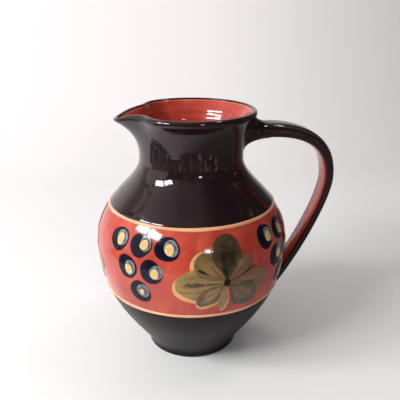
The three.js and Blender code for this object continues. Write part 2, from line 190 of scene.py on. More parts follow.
skin_normals = [normal_of(index) for index in range(len(skin))]


def locate(lengths, length):
    """Index of the point after a length along a line, and the share of that step."""
    after = min(max(bisect.bisect(lengths, length), 1), len(lengths) - 1)
    return after, (length - lengths[after - 1]) / (lengths[after] - lengths[after - 1])


def skin_at(length):
    """Point and outward direction of the wall at a length along the outline."""
    after, share = locate(skin_lengths, length)
    point = skin[after - 1].lerp(skin[after], share)
    return point, skin_normals[after - 1].lerp(skin_normals[after], share).normalized()


def length_at_height(height):
    """Length along the outline at which the outer wall passes a height."""
    after = next(index for index, point in enumerate(skin) if point.z > height)
    share = (height - skin[after - 1].z) / (skin[after].z - skin[after - 1].z)
    return skin_lengths[after - 1] + share * (skin_lengths[after] - skin_lengths[after - 1])


def radius_at(height):
    """Radius of the outer wall at a height."""
    return skin_at(length_at_height(height))[0].x


belly_length = length_at_height(BELLY_HEIGHT)
print("wall is", round(1000 * skin_lengths[-1]), "mm long, widest after", round(1000 * belly_length), "mm")

# %% [markdown]
# ## Turning on the wheel
#
# A lathe shape in Blender is an outline that is extruded vertex by vertex and then spun round the axis.
# The Screw modifier would do too, but Spin leaves plain geometry at once. It also leaves a seam where the
# turn closes, and loose poles on the axis, so doubles are merged and the normals recalculated.

# %% Turning on the wheel
TURN_STEPS = 240
MERGE_DISTANCE = 1e-6


def named(name):
    """The object that was added last, with its name set."""
    piece = bpy.context.object
    piece.name = name
    return piece


def edit_all():
    """Opens the active piece for editing, with all of it selected."""
    bpy.ops.object.mode_set(mode="EDIT")
    bpy.ops.mesh.select_all(action="SELECT")


def extrude(step):
    """Pulls what is selected out by a step. The new end is then selected."""
    bpy.ops.mesh.extrude_region_move(TRANSFORM_OT_translate={"value": step})


def finish_surface():
    """Turns the normals of the active piece outwards, leaves edit mode and shades it smooth."""
    edit_all()
    bpy.ops.mesh.normals_make_consistent(inside=False)
    bpy.ops.object.mode_set(mode="OBJECT")
    bpy.ops.object.shade_smooth()


def turn_on_wheel(name, outline):
    """Draws an outline vertex by vertex, spins it round the throwing axis and closes the seam."""
    bpy.ops.mesh.primitive_plane_add(size=LIP)
    piece = named(name)
    edit_all()
    bpy.ops.mesh.merge(type="CENTER")
    bpy.ops.transform.translate(value=outline[0])
    for before, after in zip(outline, outline[1:]):
        extrude(after - before)
    bpy.ops.mesh.select_all(action="SELECT")
    bpy.ops.mesh.spin(steps=TURN_STEPS, angle=2 * math.pi, center=(0, 0, 0), axis=(0, 0, 1))
    bpy.ops.mesh.select_all(action="SELECT")
    bpy.ops.mesh.remove_doubles(threshold=MERGE_DISTANCE)
    finish_surface()
    return piece


turn_step = 2 * math.pi * BELLY_RADIUS / TURN_STEPS
print("one turn has", TURN_STEPS, "steps, each", round(1000 * turn_step, 2), "mm long at the belly")

# %% [markdown]
# ## The pouring lip
#
# While the rim is still soft, the potter draws it out and down with one finger and holds it in on both
# sides with two others. A proportional edit by hand would do this once. Here the pull is a formula for any
# vertex near the rim, so that the clay and the glaze on it bend together. The height of each vertex before
# the pull is kept as an attribute, for glazes that change towards the lip.

# %% The pouring lip
SPOUT_LENGTH = 0.030
SPOUT_REACH = 0.009
SPOUT_DIP = 0.0055
SPOUT_ANGLE = 14
SPOUT_CURVE = 1.75
PINCH_DEPTH = 0.0055
PINCH_ANGLE = 31
PINCH_SPREAD = 17


def spout_pull(angle, height):
    """How far the rim is drawn outwards and down at an angle from the handle and a height."""
    climb = min(max(1 - (RIM_HEIGHT - height) / SPOUT_LENGTH, 0), 1)
    strength = climb**SPOUT_CURVE
    aside = 180 - abs(math.degrees(angle))
    beak = math.exp(-((aside / SPOUT_ANGLE) ** 2))
    pinch = math.exp(-(((aside - PINCH_ANGLE) / PINCH_SPREAD) ** 2))
    return strength * (SPOUT_REACH * beak - PINCH_DEPTH * pinch), strength * SPOUT_DIP * beak


def keep_heights(piece):
    """Stores the height of each vertex for the materials."""
    heights = piece.data.attributes.new("thrown_height", "FLOAT", "POINT")
    for vertex in piece.data.vertices:
        heights.data[vertex.index].value = vertex.co.z


def pull_spout(piece):
    """Pulls the pouring lip out of a turned piece and keeps each vertex's height before that."""
    keep_heights(piece)
    for vertex in piece.data.vertices:
        x, y, z = vertex.co
        radius = math.hypot(x, y)
        if radius < MERGE_DISTANCE:
            continue
        out, down = spout_pull(math.atan2(y, x), z)
        vertex.co = (x * (1 + out / radius), y * (1 + out / radius), z - down)


lip_out, lip_down = spout_pull(math.pi, RIM_HEIGHT)
print("lip is drawn", round(1000 * lip_out, 1), "mm out and", round(1000 * lip_down, 1), "mm down")

# %% [markdown]
# ## Handing a piece over
#
# Each finished piece says which CAD solids it stands for, which body carries it and what it is made of.
# Nothing on a jug moves, so all pieces ride on the one body.

# %% Handing a piece over
def settle(piece, material, slot, *nodes):
    """Gives a finished piece its material and says which CAD solids it stands for."""
    if not piece.data.materials:
        piece.data.materials.append(material)
    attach(piece, "root")
    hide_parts(*nodes)
    piece.data.calc_loop_triangles()
    print(piece.name, "has", len(piece.data.loop_triangles), "triangles and stands for", *nodes)


print("solids that wait for a finished piece:", len(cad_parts))

# %% [markdown]
# ## Building with nodes
#
# A shader is a chain of small steps: mix two colours, spread a value over a range, multiply. In the Shader
# Editor each step is a node and each use of it a noodle. These helpers add a node or two, link what goes in
# and give back the socket that comes out, so that a glaze further down reads as a recipe.

# %% Building with nodes
def add_node(tree, kind, **settings):
    """A new node with some of its settings filled in."""
    node = tree.nodes.new(kind)
    for setting, value in settings.items():
        setattr(node, setting, value)
    return node


def feed(tree, socket, value):
    """Links an output to an input, or sets the input's own value."""
    if isinstance(value, bpy.types.NodeSocket):
        tree.links.new(value, socket)
    else:
        socket.default_value = value


def remap(tree, value, from_low, from_high, to_low=0.0, to_high=1.0):
    """A value spread from one range to another, smoothed and held at both ends."""
    node = add_node(tree, "ShaderNodeMapRange", interpolation_type="SMOOTHSTEP")
    for socket, number in zip(node.inputs, (value, from_low, from_high, to_low, to_high)):
        feed(tree, socket, number)
    return node.outputs["Result"]


def calculate(tree, operation, *values):
    """One step of arithmetic."""
    node = add_node(tree, "ShaderNodeMath", operation=operation)
    for socket, value in zip(node.inputs, values):
        feed(tree, socket, value)
    return node.outputs["Value"]


def split(tree, vector):
    """The three parts of a vector, by axis."""
    parts = add_node(tree, "ShaderNodeSeparateXYZ")
    feed(tree, parts.inputs["Vector"], vector)
    return parts.outputs


def mix_colours(tree, factor, first, second, share=1):
    """A colour on its way from the first to the second, as far as the factor times the share says."""
    if share != 1:
        factor = calculate(tree, "MULTIPLY", factor, share)
    mix = add_node(tree, "ShaderNodeMix", data_type="RGBA")
    sockets = [socket for socket in mix.inputs if socket.enabled]
    for socket, value in zip(sockets, (factor, first, second)):
        feed(tree, socket, (*value, 1) if isinstance(value, (tuple, list)) else value)
    return next(socket for socket in mix.outputs if socket.enabled)


def new_material(name, roughness):
    """A new material with its node tree, its surface shader and its object coordinates."""
    material = bpy.data.materials.new(name)
    material.use_nodes = True
    tree = material.node_tree
    surface = tree.nodes["Principled BSDF"]
    surface.inputs["Roughness"].default_value = roughness
    return material, tree, surface, add_node(tree, "ShaderNodeTexCoord").outputs["Object"]


node_helpers = (add_node, feed, remap, calculate, split, mix_colours, new_material)
print("helpers for node trees:", [helper.__name__ for helper in node_helpers])

# %% [markdown]
# ## Marks from the kiln
#
# Every glaze here was brushed or poured on a turned pot, so the same few marks come back in all of them:
# rings from the fingers, cloudy patches where the coat is thicker, runs that crept down in the kiln, and
# pinpoint specks. They are built once as a node group and mixed into each glaze with its own colours.
# Noise on Object coordinates has no seam. Fine along Z it gives rings, and drawn out along Z it gives runs.

# %% Marks from the kiln
NOISE_ROUGHNESS = 0.55
# A mark: its grains per metre on each axis, its detail, and the part of the noise that shows, if not all.
MARKS = {
    "Rings": ((6, 6, 420), 2, None),
    "Clouds": ((34, 34, 26), 3, (0.35, 0.68)),
    "Runs": ((95, 95, 11), 2, (0.48, 0.75)),
    "Specks": ((800, 800, 800), 1, (0.70, 0.76)),
    "Peel": ((260, 260, 260), 1, None),
}


def stretched_noise(tree, place, grains, detail=3):
    """Noise with so many grains on each axis, per metre or per width of a flat map."""
    mapping = add_node(tree, "ShaderNodeMapping")
    feed(tree, mapping.inputs["Vector"], place)
    mapping.inputs["Scale"].default_value = grains
    noise = add_node(tree, "ShaderNodeTexNoise")
    noise.inputs["Scale"].default_value = 1
    noise.inputs["Detail"].default_value = detail
    noise.inputs["Roughness"].default_value = NOISE_ROUGHNESS
    feed(tree, noise.inputs["Vector"], mapping.outputs["Vector"])
    return noise.outputs["Fac"]


def make_kiln_marks():
    """The node group of marks that all glazes share."""
    group = bpy.data.node_groups.new("kiln_marks", "ShaderNodeTree")
    group.interface.new_socket("Place", in_out="INPUT", socket_type="NodeSocketVector")
    for mark in MARKS:
        group.interface.new_socket(mark, in_out="OUTPUT", socket_type="NodeSocketFloat")
    place = add_node(group, "NodeGroupInput").outputs["Place"]
    marks = add_node(group, "NodeGroupOutput")
    for mark, (grains, detail, shown) in MARKS.items():
        noise = stretched_noise(group, place, grains, detail)
        feed(group, marks.inputs[mark], remap(group, noise, *shown) if shown else noise)
    return group


kiln_marks = make_kiln_marks()


def start_glaze(name, roughness, ior):
    """A new glaze material with the shared marks placed in it."""
    material, tree, surface, place = new_material(name, roughness)
    surface.inputs["IOR"].default_value = ior
    marks = add_node(tree, "ShaderNodeGroup", node_tree=kiln_marks)
    feed(tree, marks.inputs["Place"], place)
    return material, tree, surface, marks.outputs, place


def raise_surface(tree, surface, height, distance):
    """Fine relief from a height value, in metres at full height."""
    bump = add_node(tree, "ShaderNodeBump")
    bump.inputs["Distance"].default_value = distance
    feed(tree, bump.inputs["Height"], height)
    feed(tree, surface.inputs["Normal"], bump.outputs["Normal"])


def raise_rings(tree, surface, marks, peel, distance):
    """Fine relief of finger rings, with a share of the glaze's orange peel over them."""
    relief = calculate(tree, "MULTIPLY_ADD", marks["Peel"], peel, marks["Rings"])
    raise_surface(tree, surface, relief, distance)


def stored(tree, label):
    """What the vertices of a piece bring along under a label, such as their height as thrown."""
    return add_node(tree, "ShaderNodeAttribute", attribute_name=label).outputs


print("shared marks:", [socket.name for socket in kiln_marks.interface.items_tree])

# %% [markdown]
# ## Coral body
#
# The clay is covered inside and on the band with a coral slip under clear gloss. The gloss is the
# shader's own reflection with a low roughness. The colour deepens in clouds, pales along the runs, and
# breaks to peach where the coat thins over the lip's inner edge. The underside, which stands on the kiln
# shelf, is left as bare clay, rough and sandy.
# The inside shows the rings that the fingers left, as real waves in the wall.

# %% Coral body
WALL = 0.005
FLOOR = 0.007
THIN_FROM = 0.03
RING_PITCH = 0.0065
RING_DEPTH = 0.00022
RINGS_FROM = 0.008
CORAL = (0.450, 0.056, 0.033)
DEEP_CORAL = (0.340, 0.033, 0.021)
PALE_CORAL = (0.530, 0.088, 0.049)
PEACH = (0.70, 0.28, 0.15)
RUST_SPECK = (0.16, 0.030, 0.020)
BARE_CLAY = (0.36, 0.13, 0.075)
SANDY = (900, 900, 900)
CORAL_GLOSS = (0.06, 0.13)
BARE_ROUGHNESS = 0.75


def inner_wall():
    """The inside of the pot from the lip down to the floor, with its finger rings."""
    points = []
    for index in range(lip_start, -1, -1):
        below_lip = skin_lengths[lip_start] - skin_lengths[index]
        thickness = LIP + (WALL - LIP) * min(below_lip / THIN_FROM, 1)
        ring = RING_DEPTH * min(below_lip / RINGS_FROM, 1) * math.sin(2 * math.pi * below_lip / RING_PITCH)
        point = skin[index] - (thickness + ring) * skin_normals[index]
        if point.z > FLOOR + WALL / 2:
            points.append(point)
    return points


def coral_glaze(name):
    """Coral slip under clear gloss, with bare clay where the pot stood in the kiln."""
    material, tree, surface, marks, place = start_glaze(name, roughness=0.09, ior=1.55)
    height = stored(tree, "thrown_height")["Fac"]
    colour = mix_colours(tree, marks["Clouds"], CORAL, DEEP_CORAL)
    colour = mix_colours(tree, marks["Runs"], colour, PALE_CORAL, share=0.55)
    colour = mix_colours(tree, marks["Specks"], colour, RUST_SPECK, share=0.6)
    at_lip = remap(tree, height, lip_middle.z, lip_middle.z + LIP / 2)
    colour = mix_colours(tree, at_lip, colour, PEACH, share=0.6)
    bare = remap(tree, height, FOOT_BEVEL, FOOT_BEVEL / 3)
    grain = stretched_noise(tree, place, SANDY, detail=4)
    clay = mix_colours(tree, grain, BARE_CLAY, DEEP_CORAL)
    feed(tree, surface.inputs["Base Color"], mix_colours(tree, bare, colour, clay))
    gloss = remap(tree, marks["Clouds"], 0, 1, *CORAL_GLOSS)
    rough = calculate(tree, "MULTIPLY", bare, BARE_ROUGHNESS)
    feed(tree, surface.inputs["Roughness"], calculate(tree, "ADD", gloss, rough))
    raise_rings(tree, surface, marks, peel=0.3, distance=0.00006)
    return material


inside = inner_wall()
floor_edge = flat(inside[-1].x - (inside[-1].z - FLOOR) * math.tan(LOWER_WALL_LEAN), FLOOR)
body_outline = [flat(0, 0), *skin, *inside[1:], floor_edge, flat(0, FLOOR)]
body = turn_on_wheel("coral_body", body_outline)
pull_spout(body)
coral = coral_glaze("coral_glaze")
settle(body, coral, "coral_clay", "thrown_body")

# %% [markdown]
# ## Dark glaze on the neck
#
# The neck was dipped or brushed with a dark gloss that runs up over the rim. It could be a mere change of
# colour, but a coat of half a millimetre has a thick round edge that catches the light, so it is turned as
# a shell of its own. Its outer face swells from nothing at each end, and its inner face is sunk a little
# into the clay, so that no light passes between. The gloss is faintly tinted, as its deep brown leans to
# aubergine where it mirrors the room.

# %% Dark glaze on the neck
COAT = 0.0006
COAT_SINK = 0.0001
COAT_EDGE = 0.0012
COAT_STEP = 0.0016
LEAST_COAT_STEPS = 12
EDGE_CROWDING = 0.25
UPPER_LINE_HEIGHT = BELLY_HEIGHT + 0.0311
OVER_CREST = math.radians(58)
AUBERGINE = (0.0100, 0.0046, 0.0063)
WARM_BROWN = (0.0145, 0.0065, 0.0066)
BREAKING_BROWN = (0.075, 0.026, 0.018)
# Grey of the strap's upward ridges: thin glaze, and also a painted highlight line.
WORN_AND_LIT_EDGE = (0.120, 0.108, 0.104)
AUBERGINE_TINT = (1.0, 0.87, 0.93, 1)
AUBERGINE_GLOSS = (0.045, 0.11)
LIP_THINS = (0.42, 0.58)
LIP_BREAKS = (0.25, 0.7)
RIDGE_WEAR_AND_HIGHLIGHT = (0.35, 0.8)


def coat_outline(start, end):
    """The closed outline of a coat between two lengths along the wall, rounded at both ends."""
    steps = max(round((end - start) / COAT_STEP), LEAST_COAT_STEPS)
    outer, inner = [], []
    for step in range(steps + 1):
        share = step / steps
        eased = (1 - math.cos(math.pi * share)) / 2
        spread = EDGE_CROWDING * eased + (1 - EDGE_CROWDING) * share
        length = start + (end - start) * spread
        to_end = min(length - start, end - length) / COAT_EDGE
        swell = math.sqrt(max(1 - (1 - min(to_end, 1)) ** 2, 0))
        point, normal = skin_at(length)
        outer.append(point + (COAT * swell - COAT_SINK * (1 - swell)) * normal)
        inner.append(point - COAT_SINK * normal)
    return [*outer, *reversed(inner[:-1])]


def dark_glaze(name):
    """Aubergine brown gloss; red brown on the lip, grey on the strap's ridges as thin glaze and painted
    highlight.
    """
    material, tree, surface, marks, _ = start_glaze(name, roughness=0.07, ior=1.5)
    surface.inputs["Specular Tint"].default_value = AUBERGINE_TINT
    colour = mix_colours(tree, marks["Clouds"], AUBERGINE, WARM_BROWN)
    colour = mix_colours(tree, marks["Runs"], colour, WARM_BROWN, share=0.4)
    thin_from, thin_to = (lip_middle.z + LIP * share for share in LIP_THINS)
    thin = remap(tree, stored(tree, "thrown_height")["Fac"], thin_from, thin_to)
    breaking = calculate(tree, "MULTIPLY", thin, remap(tree, marks["Clouds"], 0, 1, *LIP_BREAKS))
    colour = mix_colours(tree, breaking, colour, BREAKING_BROWN)
    # The ridge grey is partly thin glaze and partly a painted highlight on the upward ridges.
    ridge = stored(tree, "edge_wear_and_highlight")["Fac"]
    worn_and_lit = calculate(tree, "MULTIPLY", ridge, remap(tree, marks["Clouds"], 0.2, 0.9, *RIDGE_WEAR_AND_HIGHLIGHT))
    colour = mix_colours(tree, worn_and_lit, colour, WORN_AND_LIT_EDGE)
    feed(tree, surface.inputs["Base Color"], colour)
    feed(tree, surface.inputs["Roughness"], remap(tree, marks["Clouds"], 0, 1, *AUBERGINE_GLOSS))
    raise_rings(tree, surface, marks, peel=0.3, distance=0.00007)
    return material


crest_length = skin_lengths[lip_start] + LIP / 2 * (math.pi / 2 + RIM_LEAN + OVER_CREST)
neck_coat = turn_on_wheel("neck_coat", coat_outline(length_at_height(UPPER_LINE_HEIGHT), crest_length))
pull_spout(neck_coat)
dark = dark_glaze("dark_glaze")
settle(neck_coat, dark, "dark_slip", "neck_slip")

# %% [markdown]
# ## Satin glaze on the foot
#
# The foot has the same kind of coat, made by the same function, but a drier glaze: rougher, with less
# mirror, and with pale sweeps where the brush ran thin over the turning marks.

# %% Satin glaze on the foot
LOWER_LINE_HEIGHT = BELLY_HEIGHT - 0.0336
FOOT_COAT_START = 0.0006
CHARCOAL = (0.0090, 0.0062, 0.0066)
ASH_STREAK = (0.022, 0.0188, 0.0186)
SWEEPS = (14, 14, 260)
SWEEPS_SHOWN = (0.45, 0.75)
SATIN_GLOSS = (0.36, 0.5)


def satin_glaze(name):
    """Charcoal satin with pale rings where the brush ran thin over the turning marks."""
    material, tree, surface, marks, place = start_glaze(name, roughness=0.42, ior=1.25)
    sweeps = remap(tree, stretched_noise(tree, place, SWEEPS, detail=4), *SWEEPS_SHOWN)
    colour = mix_colours(tree, sweeps, CHARCOAL, ASH_STREAK, share=0.6)
    colour = mix_colours(tree, marks["Clouds"], colour, WARM_BROWN, share=0.35)
    feed(tree, surface.inputs["Base Color"], colour)
    feed(tree, surface.inputs["Roughness"], remap(tree, sweeps, 0, 1, *SATIN_GLOSS))
    raise_rings(tree, surface, marks, peel=0.5, distance=0.00016)
    return material


foot_coat = turn_on_wheel("foot_coat", coat_outline(FOOT_COAT_START, length_at_height(LOWER_LINE_HEIGHT)))
satin = satin_glaze("satin_glaze")
settle(foot_coat, satin, "foot_slip", "foot_slip")

# %% [markdown]
# ## Trailed cream lines
#
# Cream slip is squeezed from a bulb onto the turning pot. It stands up as a half round bead whose width
# and height wander with the hand. The bead is turned first, and then each vertex is moved a little along
# the wall by a few slow waves, so that the line closes on itself after one turn.

# %% Trailed cream lines
LINE_WIDTH = 0.0026
LINE_CROWN = 0.00105
LINE_POINTS = 10
LINE_WANDER = 0.00022
LINE_SWELL = 0.16
CREAM = (0.73, 0.38, 0.210)
TOASTED_CREAM = (0.61, 0.24, 0.118)
TOAST = (60, 60, 160)
TOAST_SHOWN = (0.42, 0.72)


def line_outline(height):
    """The closed outline of a bead on the wall: round outside, sunk a little inside."""
    middle = length_at_height(height)
    outer, inner = [], []
    for step in range(LINE_POINTS + 1):
        turn = math.pi * step / LINE_POINTS
        point, normal = skin_at(middle - LINE_WIDTH / 2 * math.cos(turn))
        outer.append(point + (LINE_CROWN * math.sin(turn) - COAT_SINK / 2) * normal)
        inner.append(point - COAT_SINK * normal)
    return [*outer, *reversed(inner)]


def wander(piece, line_height, phase):
    """Lets a bead drift along the wall and swell and shrink, as a hand held bulb does."""
    point, normal = skin_at(length_at_height(line_height))
    for vertex in piece.data.vertices:
        x, y, z = vertex.co
        angle = math.atan2(y, x)
        drift = LINE_WANDER * (math.sin(2 * angle + phase) + 0.6 * math.sin(5 * angle + 2 * phase))
        swell = 1 + LINE_SWELL * math.sin(3 * angle + phase) * math.sin(7 * angle)
        from_axis = math.hypot(x, y)
        radius = point.x + (from_axis - point.x) * swell - drift * normal.z
        height = point.z + (z - point.z) * swell + drift * normal.x
        vertex.co = (x * radius / from_axis, y * radius / from_axis, height)


def cream_slip(name):
    """Cream slip under gloss, toasted where it is thin."""
    material, tree, surface, marks, place = start_glaze(name, roughness=0.16, ior=1.52)
    toast = remap(tree, stretched_noise(tree, place, TOAST), *TOAST_SHOWN)
    colour = mix_colours(tree, toast, CREAM, TOASTED_CREAM, share=0.7)
    colour = mix_colours(tree, marks["Specks"], colour, RUST_SPECK, share=0.5)
    feed(tree, surface.inputs["Base Color"], colour)
    raise_surface(tree, surface, marks["Peel"], distance=0.00008)
    return material


cream = cream_slip("cream_slip")
for name, height, phase in (("upper", UPPER_LINE_HEIGHT, 0.4), ("lower", LOWER_LINE_HEIGHT, 2.1)):
    line = turn_on_wheel(name + "_trailed_line", line_outline(height))
    wander(line, height, phase)
    settle(line, cream, "cream_slip", name + "_cream_line")

# %% [markdown]
# ## The handle's path
#
# The middle line of the handle leaves the neck just under the rim, turns over at its farthest reach and
# runs down to the lower wall. It is a Bezier curve of three pieces, drawn from the wall's own places, and
# its last piece goes straight on into the wall. The same curve later bends the strap.

# %% The handle's path
HANDLE_ROOT_HEIGHT = RIM_HEIGHT - 0.019
HANDLE_RISE = 0.006
HANDLE_ROOT_PULL = 0.038
HANDLE_REACH = BELLY_RADIUS + 0.0343
HANDLE_REACH_HEIGHT = HANDLE_ROOT_HEIGHT - 0.037
HANDLE_SHOULDER_PULL = 0.0378
HANDLE_BACK_PULL = 0.0252
HANDLE_TAIL_HEIGHT = BELLY_HEIGHT - 0.051
HANDLE_TAIL_PULL = 0.012
HANDLE_TAIL_LEAN = math.radians(60)
HANDLE_ROOT_DEPTH = 0.007
HANDLE_TAIL_DEPTH = 0.016
PATH_POINTS = 64

root_on_wall, root_normal = skin_at(length_at_height(HANDLE_ROOT_HEIGHT))
tail_on_wall, tail_normal = skin_at(length_at_height(HANDLE_TAIL_HEIGHT))
root_end = root_on_wall - flat(HANDLE_ROOT_DEPTH, 0)
reach_point = flat(HANDLE_REACH, HANDLE_REACH_HEIGHT)
tail_direction = leaning(HANDLE_TAIL_LEAN)
tail_end = tail_on_wall - HANDLE_TAIL_DEPTH * tail_direction
handle_curves = (
    (
        root_end,
        root_end + flat(HANDLE_ROOT_PULL, HANDLE_RISE),
        reach_point + flat(0, HANDLE_SHOULDER_PULL),
        reach_point,
    ),
    (
        reach_point,
        reach_point - flat(0, HANDLE_BACK_PULL),
        tail_on_wall + HANDLE_TAIL_PULL * tail_direction,
        tail_on_wall,
    ),
    (
        tail_on_wall,
        tail_on_wall.lerp(tail_end, 1 / 3),
        tail_on_wall.lerp(tail_end, 2 / 3),
        tail_end,
    ),
)


def make_handle_path():
    """The middle line of the strap, from inside the neck to inside the lower wall."""
    bpy.ops.curve.primitive_bezier_curve_add()
    path = named("handle_path")
    path.data.dimensions = "3D"
    path.data.twist_mode = "MINIMUM"
    path.data.resolution_u = PATH_POINTS
    knots = path.data.splines[0].bezier_points
    knots.add(len(handle_curves) - 1)
    for knot in knots:
        knot.handle_left_type = knot.handle_right_type = "FREE"
    for (start, leaving, arriving, end), before, after in zip(handle_curves, knots, knots[1:]):
        before.co, before.handle_right = start, leaving
        after.handle_left, after.co = arriving, end
    knots[0].handle_left = root_end - flat(HANDLE_ROOT_DEPTH, 0)
    knots[-1].handle_right = tail_end - HANDLE_TAIL_DEPTH * tail_direction
    return path


handle_path = make_handle_path()
handle_line = [root_end]
for knots in handle_curves:
    handle_line += interpolate_bezier(*knots, PATH_POINTS)[1:]
handle_lengths = measure(handle_line)
handle_length = handle_lengths[-1]
print("handle's path is", round(1000 * handle_length), "mm long")

# %% [markdown]
# ## Pulling the strap
#
# A potter strokes a carrot of clay with a wet hand until it is a long strap. It is made the same way here:
# a circle is pressed into a rounded oblong with a shallow groove along its back, and extruded step by step
# into a straight strap that gets narrower and thinner. Straight work is easy to check before it is bent.

# %% Pulling the strap
ROOT_WIDTH, TAIL_WIDTH = 0.0205, 0.0165
ROOT_THICKNESS, TAIL_THICKNESS = 0.0114, 0.0066
TAPER_END = 0.6
SQUARENESS = 3.2
GROOVE_DEPTH = 0.00012
GROOVE_SPREAD = 0.55
SECTION_POINTS = 64
STRAP_STEPS = 96


def ease(share):
    """A share held between 0 and 1, with a gentle start and end."""
    share = min(max(share, 0), 1)
    return share * share * (3 - 2 * share)


def strap_size(share):
    """Half the width and half the thickness of the strap at a share of its length."""
    taper = ease(share / TAPER_END)
    width = ROOT_WIDTH + (TAIL_WIDTH - ROOT_WIDTH) * taper
    thickness = ROOT_THICKNESS + (TAIL_THICKNESS - ROOT_THICKNESS) * taper
    return width / 2, thickness / 2


def strap_section(turn, share):
    """A point of the strap's rounded oblong section: across the strap, and out to its grooved back."""
    half_width, half_thickness = strap_size(share)
    power = 2 / SQUARENESS
    across = math.copysign(abs(math.cos(turn)) ** power, math.cos(turn))
    out = math.copysign(abs(math.sin(turn)) ** power, math.sin(turn))
    groove = GROOVE_DEPTH * max(1 - (across / GROOVE_SPREAD) ** 2, 0) if out > 0 else 0
    return across * half_width, out * half_thickness - groove


def pull_strap(name):
    """A straight strap along X, pulled out of its first section ring by ring."""
    bpy.ops.mesh.primitive_circle_add(vertices=SECTION_POINTS, radius=1, fill_type="NGON")
    strap = named(name)
    for vertex in strap.data.vertices:
        across, out = strap_section(math.atan2(vertex.co.y, vertex.co.x), 0)
        vertex.co = (0, across, out)
    edit_all()
    step = handle_length / STRAP_STEPS
    for index in range(STRAP_STEPS):
        before = strap_size(index / STRAP_STEPS)
        after = strap_size((index + 1) / STRAP_STEPS)
        extrude((step, 0, 0))
        bpy.ops.transform.resize(
            value=(1, after[0] / before[0], after[1] / before[1]),
            center_override=((index + 1) * step, 0, 0),
        )
    finish_surface()
    return strap


strap = pull_strap("strap")
print("straight strap measures mm:", [round(1000 * side, 1) for side in strap.dimensions])

# %% [markdown]
# ## Coating, bending and trimming the strap
#
# The dark coat is a copy of the strap without its finger side, thickened outwards by Solidify. Its upward
# ridges get an attribute, because glaze runs thin there and looks worn, and their grey is also a painted
# highlight line. Then a Curve modifier bends strap and coat along the same path, so the two always fit.
# Last, both ends are cut off inside the wall with Bisect, or they would show on the inside of the jug.

# %% Coating, bending and trimming the strap
FINGER_SIDE = -0.80
RIDGE_FROM = 0.88
END_FACE = 0.9
PRESSED_IN = 0.003
TRIM_REACH = 0.03
STRAP_COAT = 0.0006


def pick(piece):
    """Makes a piece the only one selected, and active."""
    bpy.ops.object.select_all(action="DESELECT")
    piece.select_set(True)
    bpy.context.view_layer.objects.active = piece


def select_where(piece, kind, wanted):
    """Opens a piece for editing with those of its faces or edges selected that pass a test."""
    pick(piece)
    bpy.ops.object.mode_set(mode="EDIT")
    bpy.ops.mesh.select_mode(type=kind)
    bpy.ops.mesh.select_all(action="DESELECT")
    bpy.ops.object.mode_set(mode="OBJECT")
    for item in {"FACE": piece.data.polygons, "EDGE": piece.data.edges}[kind]:
        item.select = wanted(item)
    bpy.ops.object.mode_set(mode="EDIT")


def apply_modifier(piece, kind, **settings):
    """Adds a modifier, sets it up and applies it."""
    pick(piece)
    modifier = piece.modifiers.new(kind.lower(), kind)
    for setting, value in settings.items():
        setattr(modifier, setting, value)
    bpy.ops.object.modifier_apply(modifier=modifier.name)


def bend_on_path(piece):
    """Bends a straight piece along the handle's path."""
    apply_modifier(piece, "CURVE", object=handle_path, deform_axis="POS_X")


def coat_strap(strap):
    """The dark coat: a copy of the strap's back and edges, thickened outwards."""
    pick(strap)
    bpy.ops.object.duplicate()
    coat = named("strap_coat")
    select_where(coat, "FACE", lambda face: face.normal.z < FINGER_SIDE or abs(face.normal.x) > END_FACE)
    bpy.ops.mesh.delete(type="FACE")
    bpy.ops.mesh.select_mode(type="VERT")
    bpy.ops.object.mode_set(mode="OBJECT")
    apply_modifier(coat, "SOLIDIFY", thickness=STRAP_COAT, offset=1, use_even_offset=True)
    # Marks the upward ridges, where the thin glaze and a painted highlight line go.
    wear_and_highlight = coat.data.attributes.new("edge_wear_and_highlight", "FLOAT", "POINT")
    for vertex in coat.data.vertices:
        ridge = 2 * abs(vertex.normal.y) * max(vertex.normal.z, 0)
        wear_and_highlight.data[vertex.index].value = max((ridge - RIDGE_FROM) / (1 - RIDGE_FROM), 0)
    return coat


def trim_end(piece, on_wall, wall_normal):
    """Cuts off the end of a bent piece where it would go through the wall."""
    select_where(piece, "FACE", lambda face: (face.center - on_wall).length < TRIM_REACH)
    cut = on_wall - PRESSED_IN * wall_normal
    bpy.ops.mesh.bisect(plane_co=cut, plane_no=wall_normal, use_fill=True, clear_inner=True)
    bpy.ops.mesh.select_mode(type="VERT")
    bpy.ops.object.mode_set(mode="OBJECT")


strap_coat = coat_strap(strap)
for piece in (strap, strap_coat):
    bend_on_path(piece)
    trim_end(piece, root_on_wall, root_normal)
    trim_end(piece, tail_on_wall, tail_normal)
    print(piece.name, "has", len(piece.data.polygons), "faces")
keep_heights(strap)
settle(strap, coral, "coral_clay", "strap_handle")
settle(strap_coat, dark, "dark_slip", "handle_slip")

# %% [markdown]
# ## Luted joints
#
# Where a strap meets the pot, a coil of soft clay is pressed round it and thumbed out, so that strap and
# wall run into each other in a hollow curve. A torus has the right topology for this, a ring that is
# closed both ways. Each of its rings is set as a small fillet: from a point on the wall, by way of the
# corner where the strap's side enters the wall, to a point on the strap.

# %% Luted joints
JOINT_TURNS = 96
JOINT_POINTS = 13
JOINT_SINK = 0.0005
JOINT_FULLNESS = 0.15
UPPER_SPREAD, UPPER_CLIMB = (0.011, 0.009), (0.022, 0.019)
LOWER_SPREAD, LOWER_CLIMB = (0.004, 0.005), (0.010, 0.007)
JOINT_LUMP = 0.12
SEARCH_STEPS = 30
SEARCH_REACH = 0.035


def strap_place(length, turn):
    """A point on the coated strap, and the middle of the strap there."""
    after, _ = locate(handle_lengths, length)
    along = (handle_line[after] - handle_line[after - 1]).normalized()
    middle = handle_line[after - 1] + (length - handle_lengths[after - 1]) * along
    across, out = strap_section(turn, length / handle_length)
    outwards = flat(-along.z, along.x)
    return middle + Vector((0, across, 0)) + out * outwards, middle


def onto_wall(point, lift):
    """The point moved level with itself onto the coat of the wall."""
    angle = math.atan2(point.y, point.x)
    radius = radius_at(point.z) + lift
    return Vector((radius * math.cos(angle), radius * math.sin(angle), point.z))


